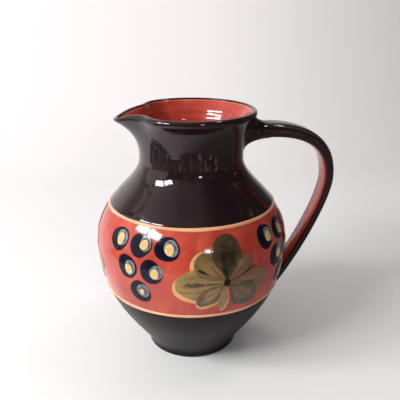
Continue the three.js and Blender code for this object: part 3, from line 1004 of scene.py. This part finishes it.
def joint_profile(turn, inner_end, step, spreads, climbs):
    """The closed fillet between wall and strap on one side of the strap."""
    inside, outside = inner_end, inner_end + step * SEARCH_REACH
    for _ in range(SEARCH_STEPS):
        middle = (inside + outside) / 2
        point, _ = strap_place(middle, turn)
        if point.xy.length < radius_at(point.z) + COAT:
            inside = middle
        else:
            outside = middle
    corner, strap_middle = strap_place(outside, turn)
    lump = 1 + JOINT_LUMP * math.sin(3 * turn + 1) * math.sin(2 * turn)
    finger_side = (1 - math.sin(turn)) / 2
    spread = lump * (spreads[0] + (spreads[1] - spreads[0]) * finger_side)
    climb = lump * (climbs[0] + (climbs[1] - climbs[0]) * finger_side)
    on_wall = onto_wall(corner + spread * (corner - strap_middle).normalized(), COAT)
    on_strap, strap_middle = strap_place(outside + step * climb, turn)
    on_strap += (on_strap - strap_middle).normalized() * STRAP_COAT
    hollow = corner.lerp((on_wall + on_strap) / 2, JOINT_FULLNESS)
    fillet = []
    for index in range(JOINT_POINTS):
        share = index / (JOINT_POINTS - 1)
        fillet.append(on_wall.lerp(hollow, share).lerp(hollow.lerp(on_strap, share), share))
    sunk_strap = on_strap.lerp(strap_middle, 2 * JOINT_SINK / (on_strap - strap_middle).length)
    sunk_corner = onto_wall(corner, -JOINT_SINK)
    return [*fillet, sunk_strap, sunk_corner, onto_wall(on_wall, -JOINT_SINK)]


def lute_joint(name, inner_end, step, spreads, climbs):
    """A ring of fillets round one end of the strap."""
    bpy.ops.mesh.primitive_torus_add(major_segments=JOINT_TURNS, minor_segments=JOINT_POINTS + 3)
    joint = named(name)
    places = []
    for index in range(JOINT_TURNS):
        places += joint_profile(2 * math.pi * index / JOINT_TURNS, inner_end, step, spreads, climbs)
    for vertex, place in zip(joint.data.vertices, places):
        vertex.co = place
    finish_surface()
    return joint


upper_joint = lute_joint("upper_joint", 0, 1, UPPER_SPREAD, UPPER_CLIMB)
settle(upper_joint, dark, "dark_slip", "upper_luting_coil")
lower_joint = lute_joint("lower_joint", handle_length, -1, LOWER_SPREAD, LOWER_CLIMB)
settle(lower_joint, dark, "dark_slip", "lower_luting_coil")

# %% [markdown]
# ## Painted dabs
#
# Grapes and leaves are dabs of thick slip from a soft brush. A dab is a disc of paint that is highest in
# the middle. One flat stencil is made: a circle, inset ring by ring and poked in the middle, with a UV map
# and a vertex group that says how high the paint stands. Copies of it are bent into grapes and petals while
# flat, laid on the wall by a Shrinkwrap projection, and given their height by Solidify, which thins out
# where the vertex group does.

# %% Painted dabs
DAB_POINTS = 48
DAB_RINGS = (0.03, 0.06, 0.10, 0.16, 0.20, 0.20)
DAB_HEIGHT = 0.001
DAB_EDGE = 0.85
DAB_START = 0.03
DAB_CREASE = math.radians(50)


def make_stencil():
    """A flat round dab of radius 1 with its UV map and its height as a vertex group."""
    bpy.ops.mesh.primitive_circle_add(vertices=DAB_POINTS, radius=1, fill_type="NGON")
    stencil = named("dab_stencil")
    edit_all()
    for ring in DAB_RINGS:
        bpy.ops.mesh.inset(thickness=ring)
    bpy.ops.mesh.poke()
    bpy.ops.object.mode_set(mode="OBJECT")
    mesh = stencil.data
    flat_map = mesh.uv_layers.new(name="dab")
    for loop in mesh.loops:
        x, y, _ = mesh.vertices[loop.vertex_index].co
        flat_map.data[loop.index].uv = (0.5 + x / 2, 0.5 + y / 2)
    stencil.vertex_groups.new(name="crown")
    return stencil


def cut_dab(name, shape, height, material, *tints):
    """A copy of the stencil, reshaped while flat, with its paint height, material and tints."""
    dab = stencil.copy()
    dab.data = stencil.data.copy()
    dab.name = name
    bpy.context.collection.objects.link(dab)
    for vertex in dab.data.vertices:
        x, y, _ = vertex.co
        dome = DAB_EDGE + (1 - DAB_EDGE) * (1 - (x * x + y * y) ** 2)
        dab.vertex_groups["crown"].add([vertex.index], dome * height / DAB_HEIGHT, "REPLACE")
        vertex.co = (*shape(x, y), 0)
    for label, tint in zip(("tint", "rim_tint"), tints):
        colours = dab.data.attributes.new(label, "FLOAT_COLOR", "POINT")
        for vertex in dab.data.vertices:
            colours.data[vertex.index].color = tint
    dab.data.materials.append(material)
    return dab


def join_dabs(dabs):
    """All the dabs of one motif as one flat piece."""
    bpy.ops.object.select_all(action="DESELECT")
    for dab in dabs:
        dab.select_set(True)
    bpy.context.view_layer.objects.active = dabs[0]
    if len(dabs) > 1:
        bpy.ops.object.join()
    return dabs[0]


def lay_on_wall(piece, angle, rise, upright=False):
    """Lays a flat piece on the wall at an angle from the handle and a wall length above the belly."""
    point, normal = skin_at(belly_length + rise)
    turn = Matrix.Rotation(angle, 3, "Z")
    outward = turn @ (Vector((1, 0, 0)) if upright else normal)
    across = turn @ Vector((0, 1, 0))
    facing = Matrix((across, outward.cross(across), outward)).transposed().to_4x4()
    piece.matrix_world = Matrix.Translation(turn @ point + DAB_START * outward) @ facing
    apply_modifier(
        piece,
        "SHRINKWRAP",
        target=body,
        wrap_method="PROJECT",
        use_project_z=True,
        use_positive_direction=False,
        use_negative_direction=True,
    )
    bpy.ops.object.transform_apply()
    apply_modifier(piece, "SOLIDIFY", thickness=DAB_HEIGHT, offset=1, vertex_group="crown")
    bpy.ops.object.shade_smooth_by_angle(angle=DAB_CREASE)


stencil = make_stencil()
print("stencil has", len(stencil.data.vertices), "vertices")

# %% [markdown]
# ## Brushed slip
#
# Slip from a brush is uneven: thick in the middle of a dab, thin and ragged at its edge, with the grain of
# the hairs in it. Both come from the dab's own flat map, so that they turn and stretch with the dab: the
# distance from its middle says how near the edge is, and noise on the map frays it.

# %% Brushed slip
NAVY = (0.0034, 0.0044, 0.0130)
BLUE_BLACK = (0.0060, 0.0090, 0.0220)
BLOOM = (0.060, 0.080, 0.105)
PALE_BLOOM = (0.230, 0.255, 0.225)
GLINT = (0.64, 0.37, 0.120)
GLINT_EDGE = (0.62, 0.46, 0.230)
HAIRS = (3, 7, 1)
FRAYING = 1.6
SHADED = 0.7


def dab_noise(tree, grains):
    """Brush grain on the flat map of a dab, and the map itself."""
    flat_map = add_node(tree, "ShaderNodeUVMap", uv_map="dab").outputs["UV"]
    return stretched_noise(tree, flat_map, grains), flat_map


def from_middle(tree, flat_map):
    """Distance from the middle of a dab, 0 to 1 at its edge."""
    distance = add_node(tree, "ShaderNodeVectorMath", operation="DISTANCE")
    feed(tree, distance.inputs[0], flat_map)
    distance.inputs[1].default_value = (0.5, 0.5, 0)
    return calculate(tree, "MULTIPLY", distance.outputs["Value"], 2)


def painted_slip(name, inner, outer, edge_from, edge_to, ior=1.42):
    """Slip under clear glaze whose colour changes towards the dab's edge, with brush grain."""
    material, tree, surface, marks, _ = start_glaze(name, roughness=0.09, ior=ior)
    grain, flat_map = dab_noise(tree, HAIRS)
    uneven = calculate(tree, "SUBTRACT", grain, 0.5)
    ragged = calculate(tree, "MULTIPLY_ADD", uneven, FRAYING, from_middle(tree, flat_map))
    colour = mix_colours(tree, remap(tree, ragged, edge_from, edge_to), inner, outer)
    shade = [SHADED * channel for channel in inner]
    colour = mix_colours(tree, marks["Clouds"], colour, shade, share=0.35)
    feed(tree, surface.inputs["Base Color"], colour)
    raise_surface(tree, surface, calculate(tree, "ADD", marks["Peel"], grain), distance=0.00006)
    return material


navy = painted_slip("navy_slip", NAVY, BLUE_BLACK, 0.55, 1.1, ior=1.28)
bloom = painted_slip("bloom_slip", BLOOM, PALE_BLOOM, 0.45, 1.2)
glint = painted_slip("glint_slip", GLINT, GLINT_EDGE, 0.35, 1.0)
print("slips for the grapes:", [slip.name for slip in (navy, bloom, glint)])

# %% [markdown]
# ## Grapes
#
# Each grape is three dabs one over the other: a navy disc, a grey blue bloom set off to one side, and a
# cream spot where light would glint. A painter never makes two alike, so each dab's edge wobbles by a few
# waves that start from the grape's own number, and the bloom sits at a slightly different place.
# The brush runs dry towards the bottom of a bunch, so the lowest spot is small.

# %% Grapes
GRAPE_RADIUS = 0.0087
GRAPE_SPACING = 0.020
GRAPE_ROW_PITCH = 0.0178
GRAPE_TOP_RISE = 0.0195
BUNCH_ROWS = 3
CREAM_LEFT = (1.0, 0.95, 0.6)
# What differs from grape to grape: its middle value, how far it goes from that, and a wave's rate and start.
DAB_TILT = (0, 0.35, 1.7, 0)
BLOOM_ASIDE = (0.36, 0.09, 2.1, 0)
BLOOM_ABOVE = (0.10, 0.12, 1.3, 1)
BLOOM_SIZE = (1, 0.12, 2.9, 2)
# The waves in a dab's edge: how many go round, how high they are, and how much a seed shifts them.
DAB_WAVES = ((2, 0.04, 1), (3, 0.03, 2.3))
BUNCH_ANGLES = {"left_front": -127, "left_back": -33, "right_front": 127, "right_back": 33}


def vary(seed, middle, reach, rate, start):
    """A value that differs from seed to seed."""
    return middle + reach * math.sin(rate * seed + start)


def waver(waves, along, seed):
    """A factor near 1 that wavers along an edge."""
    return 1 + sum(height * math.sin(count * along + shift * seed) for count, height, shift in waves)


def round_dab(radius, width, height, aside, above, seed):
    """A shape for a dab: a tilted oval set off from the middle, with a wobbling edge."""
    tilt = vary(seed, *DAB_TILT)

    def shape(x, y):
        wobble = waver(DAB_WAVES, math.atan2(y, x), seed)
        wide, tall = width * wobble * x, height * wobble * y
        right = aside + wide * math.cos(tilt) - tall * math.sin(tilt)
        up = above + wide * math.sin(tilt) + tall * math.cos(tilt)
        return radius * right, radius * up

    return shape


def paint_grape(name, seed, cream_left):
    """One flat grape of three dabs. The cream on the brush sets how big the last one is."""
    aside, above, size = (vary(seed, *waves) for waves in (BLOOM_ASIDE, BLOOM_ABOVE, BLOOM_SIZE))
    # Each dab: its slip, its width, height and place as shares of the grape's radius, and its thickness.
    layers = (
        (navy, (1, 1, 0, 0), 0.00034),
        (bloom, (0.54 * size, 0.64, aside, above), 0.00042),
        (glint, (0.35 * cream_left, 0.46 * size * cream_left, aside - 0.12, above - 0.13), 0.00052),
    )
    dabs = []
    for material, (width, height, right, up), thickness in layers:
        shape = round_dab(GRAPE_RADIUS, width, height, right, up, seed + 3 * len(dabs))
        dabs.append(cut_dab(name, shape, thickness, material))
    return join_dabs(dabs)


for bunch, angle in BUNCH_ANGLES.items():
    number = 0
    for row in range(BUNCH_ROWS):
        rise = GRAPE_TOP_RISE - row * GRAPE_ROW_PITCH
        radius = skin_at(belly_length + rise)[0].x
        in_row = BUNCH_ROWS - row
        for column in range(in_row):
            number += 1
            aside = (column - (in_row - 1) / 2) * GRAPE_SPACING / radius
            grape = paint_grape(f"{bunch}_berry_{number}", angle + number, CREAM_LEFT[row])
            lay_on_wall(grape, math.radians(angle) + aside, rise)
            settle(grape, navy, "grape_slip", f"{bunch}_grape_{number}")

# %% [markdown]
# ## Petal strokes
#
# The leaf is painted with a broad brush that is pressed down at the tip of a petal and lifted towards its
# heart. Its slip has one tint in the middle and one at the rim, which each petal brings along as attributes,
# and dark wet streaks along the stroke. Where it is thin, the coral below shows through.

# %% Petal strokes
PETAL_STEM = 0.12
PETAL_SWELL = 0.94
PETAL_FULL = 1.3
PETAL_WAVES = ((2.5, 0.05, 1), (5, 0.03, 2))
PETAL_STREAKS = (2, 12, 1)
STREAKS_SHOWN = (0.46, 0.68)
PETAL_BLOTS = (3, 4, 1)
RIM_FRAYING = 0.9
RIM_TINTED = (0.3, 0.9)
RIM_FADED = (0.7, 1.1)
VEIN_FRAYING = 0.25
VEIN_ASIDE = (0.10, 0.01)
VEIN_END = (0.95, 0.75)
PETAL_DARK = (0.024, 0.017, 0.008)
HEART_BLACK = (0.004, 0.0045, 0.003)
VEIN_BROWN = (0.016, 0.011, 0.006)
LEAF_CREAM = (0.64, 0.33, 0.150)
LEAF_GREEN = (0.33, 0.25, 0.075)


def petal_dab(angle, start, length, width, seed):
    """A shape for a dab: a drop that is narrow near the heart and broad towards its tip."""
    turn = math.radians(angle)
    away, beside = (math.cos(turn), math.sin(turn)), (-math.sin(turn), math.cos(turn))

    def shape(x, y):
        swell = PETAL_STEM + PETAL_SWELL * ease((x + 1) / PETAL_FULL)
        along = start + (length - start) * (x + 1) / 2
        aside = width / 2 * y * swell * waver(PETAL_WAVES, x, seed)
        return tuple(along * far + aside * across for far, across in zip(away, beside))

    return shape


def leaf_slip(name):
    """Brushed petal: one tint in the middle and one at the rim, wet streaks, a vein and thin places."""
    material, tree, surface, marks, _ = start_glaze(name, roughness=0.09, ior=1.5)
    tint = stored(tree, "tint")
    rim_tint = stored(tree, "rim_tint")
    streaks, flat_map = dab_noise(tree, PETAL_STREAKS)
    blots, _ = dab_noise(tree, PETAL_BLOTS)
    uneven = calculate(tree, "SUBTRACT", blots, 0.5)
    rim = calculate(tree, "MULTIPLY_ADD", uneven, RIM_FRAYING, from_middle(tree, flat_map))
    to_rim = remap(tree, rim, *RIM_TINTED)
    colour = mix_colours(tree, to_rim, tint["Color"], rim_tint["Color"])
    colour = mix_colours(tree, remap(tree, streaks, *STREAKS_SHOWN), colour, PETAL_DARK, share=0.6)
    parts = split(tree, flat_map)
    aside = calculate(tree, "MULTIPLY_ADD", uneven, VEIN_FRAYING, parts["Y"])
    aside = calculate(tree, "ABSOLUTE", calculate(tree, "SUBTRACT", aside, 0.5))
    vein = calculate(tree, "MULTIPLY", remap(tree, aside, *VEIN_ASIDE), rim_tint["Alpha"])
    vein = calculate(tree, "MULTIPLY", vein, remap(tree, parts["X"], *VEIN_END))
    colour = mix_colours(tree, vein, colour, PETAL_DARK)
    fade = calculate(tree, "MULTIPLY", remap(tree, rim, *RIM_FADED), tint["Alpha"])
    colour = mix_colours(tree, fade, colour, CORAL)
    feed(tree, surface.inputs["Base Color"], colour)
    raise_surface(tree, surface, calculate(tree, "ADD", marks["Peel"], streaks), distance=0.00004)
    return material


petal_slip = leaf_slip("petal_slip")
petal_edge = painted_slip("petal_edge_slip", LEAF_GREEN, LEAF_CREAM, 0.6, 0.9)
vein_slip = painted_slip("vein_slip", VEIN_BROWN, PETAL_DARK, 0.4, 1.0)
heart_slip = painted_slip("heart_slip", HEART_BLACK, PETAL_DARK, 0.7, 1.2)
print("slips for the leaves:", [slip.name for slip in (petal_slip, petal_edge, vein_slip, heart_slip)])

# %% [markdown]
# ## Vine leaves
#
# A leaf is a rosette of strokes that all start at its heart, in mixes of olive, brown and tan. Under some
# of them lies a second stroke in cream that reaches a little further, so that a pale edge shows. Each
# stroke lies a little higher than the one before, as paint does, so that no two faces share a place.

# %% Vine leaves
LEAF_REACH = 0.037
LEAF_FALL = 0.0055
LEAF_HEART = 0.0030
LEAF_ANGLES = {"left": -78, "right": 78, "spout": 172}
LAYER = 0.0002
LAYER_GROWTH = 1.11
PALE_EDGE = 0.0018
EDGE_TURN = 3
PETAL_TURN = 2
# A petal: its direction in degrees, its length and width as shares of the leaf's reach, whether it has a
# pale edge, how much the coral shows through, its two tints, and how dark its vein is.
LOBES = (
    (183, 1.00, 0.72, 1, 0.00, (0.270, 0.165, 0.065), (0.290, 0.188, 0.054), 0.85),
    (136, 0.82, 0.62, 1, 0.05, (0.230, 0.125, 0.054), (0.150, 0.098, 0.034), 0.15),
    (352, 0.95, 0.50, 0, 0.30, (0.230, 0.120, 0.068), (0.165, 0.096, 0.050), 0.30),
    (40, 0.67, 0.54, 0, 0.35, (0.185, 0.092, 0.051), (0.145, 0.076, 0.042), 0.20),
    (319, 0.84, 0.56, 0, 0.10, (0.170, 0.110, 0.068), (0.070, 0.066, 0.038), 0.20),
    (262, 0.68, 0.21, 1, 0.10, (0.380, 0.180, 0.098), (0.290, 0.165, 0.078), 0.30),
    (222, 0.76, 0.42, 1, 0.05, (0.310, 0.170, 0.092), (0.112, 0.083, 0.032), 0.20),
    (89, 0.895, 0.61, 0, 0.05, (0.021, 0.015, 0.009), (0.055, 0.039, 0.019), 0.30),
)
# A vein: its direction, its start and end and its width, as shares of the reach.
VEINS = (
    (20, 0.06, 0.66, 0.026),
    (99, 0.04, 0.56, 0.130),
    (151, 0.38, 0.64, 0.045),
)


def paint_leaf(name, seed):
    """One flat leaf: pale edge strokes, petals over them, then veins and a dark heart."""
    dabs = []
    layer = LAYER
    for number, (angle, length, width, pale, *_) in enumerate(LOBES):
        if pale:
            edge = petal_dab(angle + EDGE_TURN, 0, length * LEAF_REACH, width * LEAF_REACH, seed + number)
            dabs.append(cut_dab(name, edge, layer, petal_edge))
    for number, (angle, length, width, pale, fade, tint, rim_tint, vein) in enumerate(LOBES):
        layer *= LAYER_GROWTH
        reach, broad = length * LEAF_REACH - pale * PALE_EDGE, width * LEAF_REACH - pale * PALE_EDGE
        petal = petal_dab(angle - PETAL_TURN * pale, 0, reach, broad, seed + number)
        dabs.append(cut_dab(name, petal, layer, petal_slip, (*tint, fade), (*rim_tint, vein)))
    layer *= LAYER_GROWTH
    for number, (angle, start, end, width) in enumerate(VEINS):
        vein = petal_dab(angle, start * LEAF_REACH, end * LEAF_REACH, width * LEAF_REACH, seed + number)
        dabs.append(cut_dab(name, vein, layer, vein_slip))
    heart = round_dab(LEAF_HEART, 0.8, 1, 0, 0, seed)
    dabs.append(cut_dab(name, heart, layer * LAYER_GROWTH, heart_slip))
    return join_dabs(dabs)


for side, angle in LEAF_ANGLES.items():
    leaf = paint_leaf(side + "_vine_leaf", angle)
    lay_on_wall(leaf, math.radians(angle), -LEAF_FALL, upright=True)
    settle(leaf, petal_slip, "leaf_slip", side + "_leaf")
bpy.data.objects.remove(stencil)

# %% [markdown]
# ## Paper sweep
#
# A photographer would stand the jug on a pale sweep of paper that runs up behind it, so that there is no
# horizon. A plane's back edge is extruded straight up, and the fold is then beveled round.

# %% Paper sweep
PAPER_HALF_WIDTH = 2.0
PAPER_BACK = 0.8
PAPER_TOP = 2.0
PAPER_BEND = 0.35
BEND_STEPS = 24
NEAR = 0.01


def at_fold(edge):
    """Whether an edge lies where the floor ends and the wall begins."""
    ends = [paper.data.vertices[index].co for index in edge.vertices]
    return all(end.y > PAPER_BACK - NEAR and end.z < NEAR for end in ends)


bpy.ops.mesh.primitive_plane_add(size=2 * PAPER_HALF_WIDTH, location=(0, PAPER_BACK - PAPER_HALF_WIDTH, 0))
paper = named("paper_sweep")
bpy.ops.object.transform_apply(location=True)
select_where(paper, "EDGE", at_fold)
extrude((0, 0, PAPER_TOP))
bpy.ops.object.mode_set(mode="OBJECT")
select_where(paper, "EDGE", at_fold)
bpy.ops.mesh.bevel(offset=PAPER_BEND, segments=BEND_STEPS)
bpy.ops.object.mode_set(mode="OBJECT")
bpy.ops.object.shade_smooth()
print("paper measures m:", [round(side, 2) for side in paper.dimensions])

# %% [markdown]
# ## The paper's look
#
# The paper's colour is painted darker from left to right, as painted shade away from the window. The Light
# Path node tells which ray asks. For the camera a part of the shading gives way to an even glow, which
# softens the shadow. For mirror rays the paper ends as a table would, at the front and on the left, and
# beyond lies a dark room with some lit things in it. Noise on the direction from the jug makes them stand
# upright in the mirror.

# %% The paper's look
PAPER = (0.885, 0.885, 0.88)
WALL_PAPER = (0.96, 0.908, 0.914)
SHADED_FAR_PAPER = (0.72, 0.685, 0.685)
FAR_FROM_WINDOW = (0.05, 0.62)
PAPER_GRAIN = (3, 3, 3)
PAPER_TINT = 0.96
ROOM_STARTS = 0.1
ROOM_FULL = -0.40
ROOM_SHARE = 0.2
ROOM_TURN = 1.5
ROOM_DARK = 0.08
ROOM_LIT = 2.4
LAMPLIGHT = (1.0, 0.82, 0.62)
TABLE_END = -0.16
TABLE_SIDE = 0.43
TABLE_RAGGED = 0.3
TABLE_EDGE = 0.03
BARS = (9, 9, 1)
BARS_SHOWN = (0.47, 0.53)
SPOTS = (12, 12, 12)
SPOTS_SHOWN = (0.52, 0.64)
SHADE_SHARE = 0.86
FLOOR_LIFT = 0.025
WALL_LIFT = 0.105


def lit_room(tree, place):
    """Upright streaks of light: bars by the direction from the jug, broken up into spots."""
    way = add_node(tree, "ShaderNodeVectorMath", operation="NORMALIZE")
    feed(tree, way.inputs[0], place)
    bars = remap(tree, stretched_noise(tree, way.outputs["Vector"], BARS), *BARS_SHOWN)
    spots = remap(tree, stretched_noise(tree, place, SPOTS), *SPOTS_SHOWN)
    return calculate(tree, "MULTIPLY", bars, spots)


def paper_look(name):
    """Pale paper, lifted a little for the camera and ending in a dark room for mirror rays."""
    material, tree, surface, place = new_material(name, roughness=0.85)
    grain = stretched_noise(tree, place, PAPER_GRAIN)
    x, y, _ = split(tree, place)
    colour = mix_colours(tree, remap(tree, y, 0, PAPER_BACK), PAPER, WALL_PAPER)
    # Painted shade: the paper's colour darkens away from the window.
    colour = mix_colours(tree, remap(tree, x, *FAR_FROM_WINDOW), colour, SHADED_FAR_PAPER)
    colour = mix_colours(tree, grain, colour, [PAPER_TINT * channel for channel in PAPER], share=0.3)
    away = calculate(tree, "MULTIPLY_ADD", x, -ROOM_TURN, y)
    in_room = remap(tree, away, ROOM_STARTS, ROOM_FULL, 0, 1 - ROOM_SHARE)
    side = calculate(tree, "MAXIMUM", x, calculate(tree, "SUBTRACT", y, TABLE_SIDE))
    end = calculate(tree, "MULTIPLY_ADD", grain, TABLE_RAGGED, calculate(tree, "MINIMUM", y, side))
    off_table = remap(tree, end, TABLE_END + TABLE_EDGE, TABLE_END, 0, 1 - ROOM_DARK)
    in_room = calculate(tree, "MAXIMUM", in_room, off_table)
    ray = add_node(tree, "ShaderNodeLightPath").outputs
    darker = calculate(tree, "MULTIPLY", in_room, ray["Is Glossy Ray"])
    darker = calculate(tree, "MULTIPLY_ADD", ray["Is Camera Ray"], 1 - SHADE_SHARE, darker)
    feed(tree, surface.inputs["Base Color"], mix_colours(tree, darker, colour, (0, 0, 0)))
    lift = remap(tree, y, 0, PAPER_BACK, FLOOR_LIFT, WALL_LIFT)
    lift = calculate(tree, "MULTIPLY", lift, ray["Is Camera Ray"])
    lit = calculate(tree, "MULTIPLY", lit_room(tree, place), off_table)
    mirrored = calculate(tree, "MULTIPLY", ray["Is Glossy Ray"], ROOM_LIT)
    feed(tree, surface.inputs["Emission Strength"], calculate(tree, "MULTIPLY_ADD", lit, mirrored, lift))
    glow = mix_colours(tree, ray["Is Glossy Ray"], colour, LAMPLIGHT)
    feed(tree, surface.inputs["Emission Color"], glow)
    return material


paper.data.materials.append(paper_look("paper"))
print("paper's look has", len(paper.data.materials[0].node_tree.nodes), "nodes")

# %% [markdown]
# ## Window and lamps
#
# Light comes from a window of two panes, to the left and a little in front, which the gloss mirrors as a
# bright patch on the shoulder. A small lamp behind the camera adds the glint on the leaf, and one on the
# ceiling a line of light along the strap. All are area lights turned to the jug. An area light's power is
# spread over its size, so a fixed glow is asked for and the power worked out from it.

# %% Window and lamps
WINDOW_DIRECTION = (-0.76, -0.31, 0.57)
WINDOW_DISTANCE = 1.2
WINDOW_PANE = (0.31, 0.21)
WINDOW_BAR = 0.05
WINDOW_GLOW = 38.0
LAMP_DIRECTION = (0.18, -0.91, 0.30)
LAMP_DISTANCE = 1.3
LAMP_SIZE = (0.09, 0.09)
LAMP_GLOW = 45.0
CEILING_DIRECTION = (0.40, 0.07, 0.92)
CEILING_DISTANCE = 1.6
CEILING_LAMP = (0.60, 0.11)
CEILING_GLOW = 13.0
AIM = Vector((0, 0, 0.1))


def hang_light(name, direction, distance, size, glow, aside=0.0):
    """An area light that faces the jug, as bright per area as its glow says."""
    outward = Vector(direction).normalized()
    facing = outward.to_track_quat("Z", "Y")
    place = AIM + distance * outward + facing @ Vector((aside, 0, 0))
    bpy.ops.object.light_add(type="AREA", location=place, rotation=facing.to_euler())
    light = named(name)
    light.data.shape = "RECTANGLE"
    light.data.size, light.data.size_y = size
    light.data.energy = glow * math.pi * size[0] * size[1]


for side in (-1, 1):
    pane_aside = side * (WINDOW_PANE[0] + WINDOW_BAR) / 2
    hang_light("window_pane", WINDOW_DIRECTION, WINDOW_DISTANCE, WINDOW_PANE, WINDOW_GLOW, pane_aside)
hang_light("lamp", LAMP_DIRECTION, LAMP_DISTANCE, LAMP_SIZE, LAMP_GLOW)
hang_light("ceiling_lamp", CEILING_DIRECTION, CEILING_DISTANCE, CEILING_LAMP, CEILING_GLOW)

# %% [markdown]
# ## The room
#
# The rest of the room fills in the shadows, from the left more than from the right. A bare even world makes
# gloss look like plastic, so in mirror rays alone the lower half of the room is cut up by noise into dark
# furniture with a few lit spots. A view past the paper's edge shows plain pale.

# %% The room
DAYLIGHT = (1.0, 0.985, 0.98)
ROOM_LEFT = 1.2
ROOM_MIDDLE = 0.34
ROOM_RIGHT = 0.05
ROOM_SEEN = 0.86
TO_THE_LEFT = (-0.15, -0.95)
TO_THE_RIGHT = (0.0, 0.4)
FURNITURE = (7, 7, 2)
FURNITURE_TOP = 0.52
FURNITURE_STEPS = 1.3
FURNITURE_EDGE = 0.04
FURNITURE_FROM = (-0.86, -0.80)
LIT_THINGS = (5, 5, 11)
LIT_THINGS_SHOWN = (0.60, 0.66)
LIT_THINGS_GLOW = 0.8

world = bpy.data.worlds.new("room")
world.use_nodes = True
bpy.context.scene.world = world
room = world.node_tree
direction = add_node(room, "ShaderNodeTexCoord").outputs["Generated"]
x, _, z = split(room, direction)
background = room.nodes["Background"]
left_part = remap(room, x, *TO_THE_LEFT, ROOM_MIDDLE, ROOM_LEFT)
right_part = remap(room, x, *TO_THE_RIGHT, 0, ROOM_MIDDLE - ROOM_RIGHT)
glow = calculate(room, "SUBTRACT", left_part, right_part)
blocks = calculate(room, "SUBTRACT", stretched_noise(room, direction, FURNITURE), 0.5)
edge = calculate(room, "MULTIPLY_ADD", blocks, FURNITURE_STEPS, z)
furniture = remap(room, edge, FURNITURE_TOP + FURNITURE_EDGE, FURNITURE_TOP)
furniture = calculate(room, "MULTIPLY", furniture, remap(room, x, *FURNITURE_FROM))
room_ray = add_node(room, "ShaderNodeLightPath")
furniture = calculate(room, "MULTIPLY", furniture, room_ray.outputs["Is Glossy Ray"])
lit = stretched_noise(room, direction, LIT_THINGS)
lit = remap(room, lit, *LIT_THINGS_SHOWN, ROOM_DARK, LIT_THINGS_GLOW)
lit = calculate(room, "MULTIPLY", lit, furniture)
unlit = calculate(room, "MULTIPLY", glow, calculate(room, "SUBTRACT", 1, furniture))
level = calculate(room, "ADD", unlit, lit)
seen = remap(room, room_ray.outputs["Is Camera Ray"], 0, 1, level, ROOM_SEEN)
feed(room, background.inputs["Strength"], seen)
feed(room, background.inputs["Color"], mix_colours(room, furniture, DAYLIGHT, LAMPLIGHT))
bpy.context.scene.view_settings.view_transform = "Standard"
print("room has", len(room.nodes), "nodes")

# %% [markdown]
# ## Tidy up
#
# The path has done its work and is removed.

# %% Tidy up
bpy.data.objects.remove(handle_path)
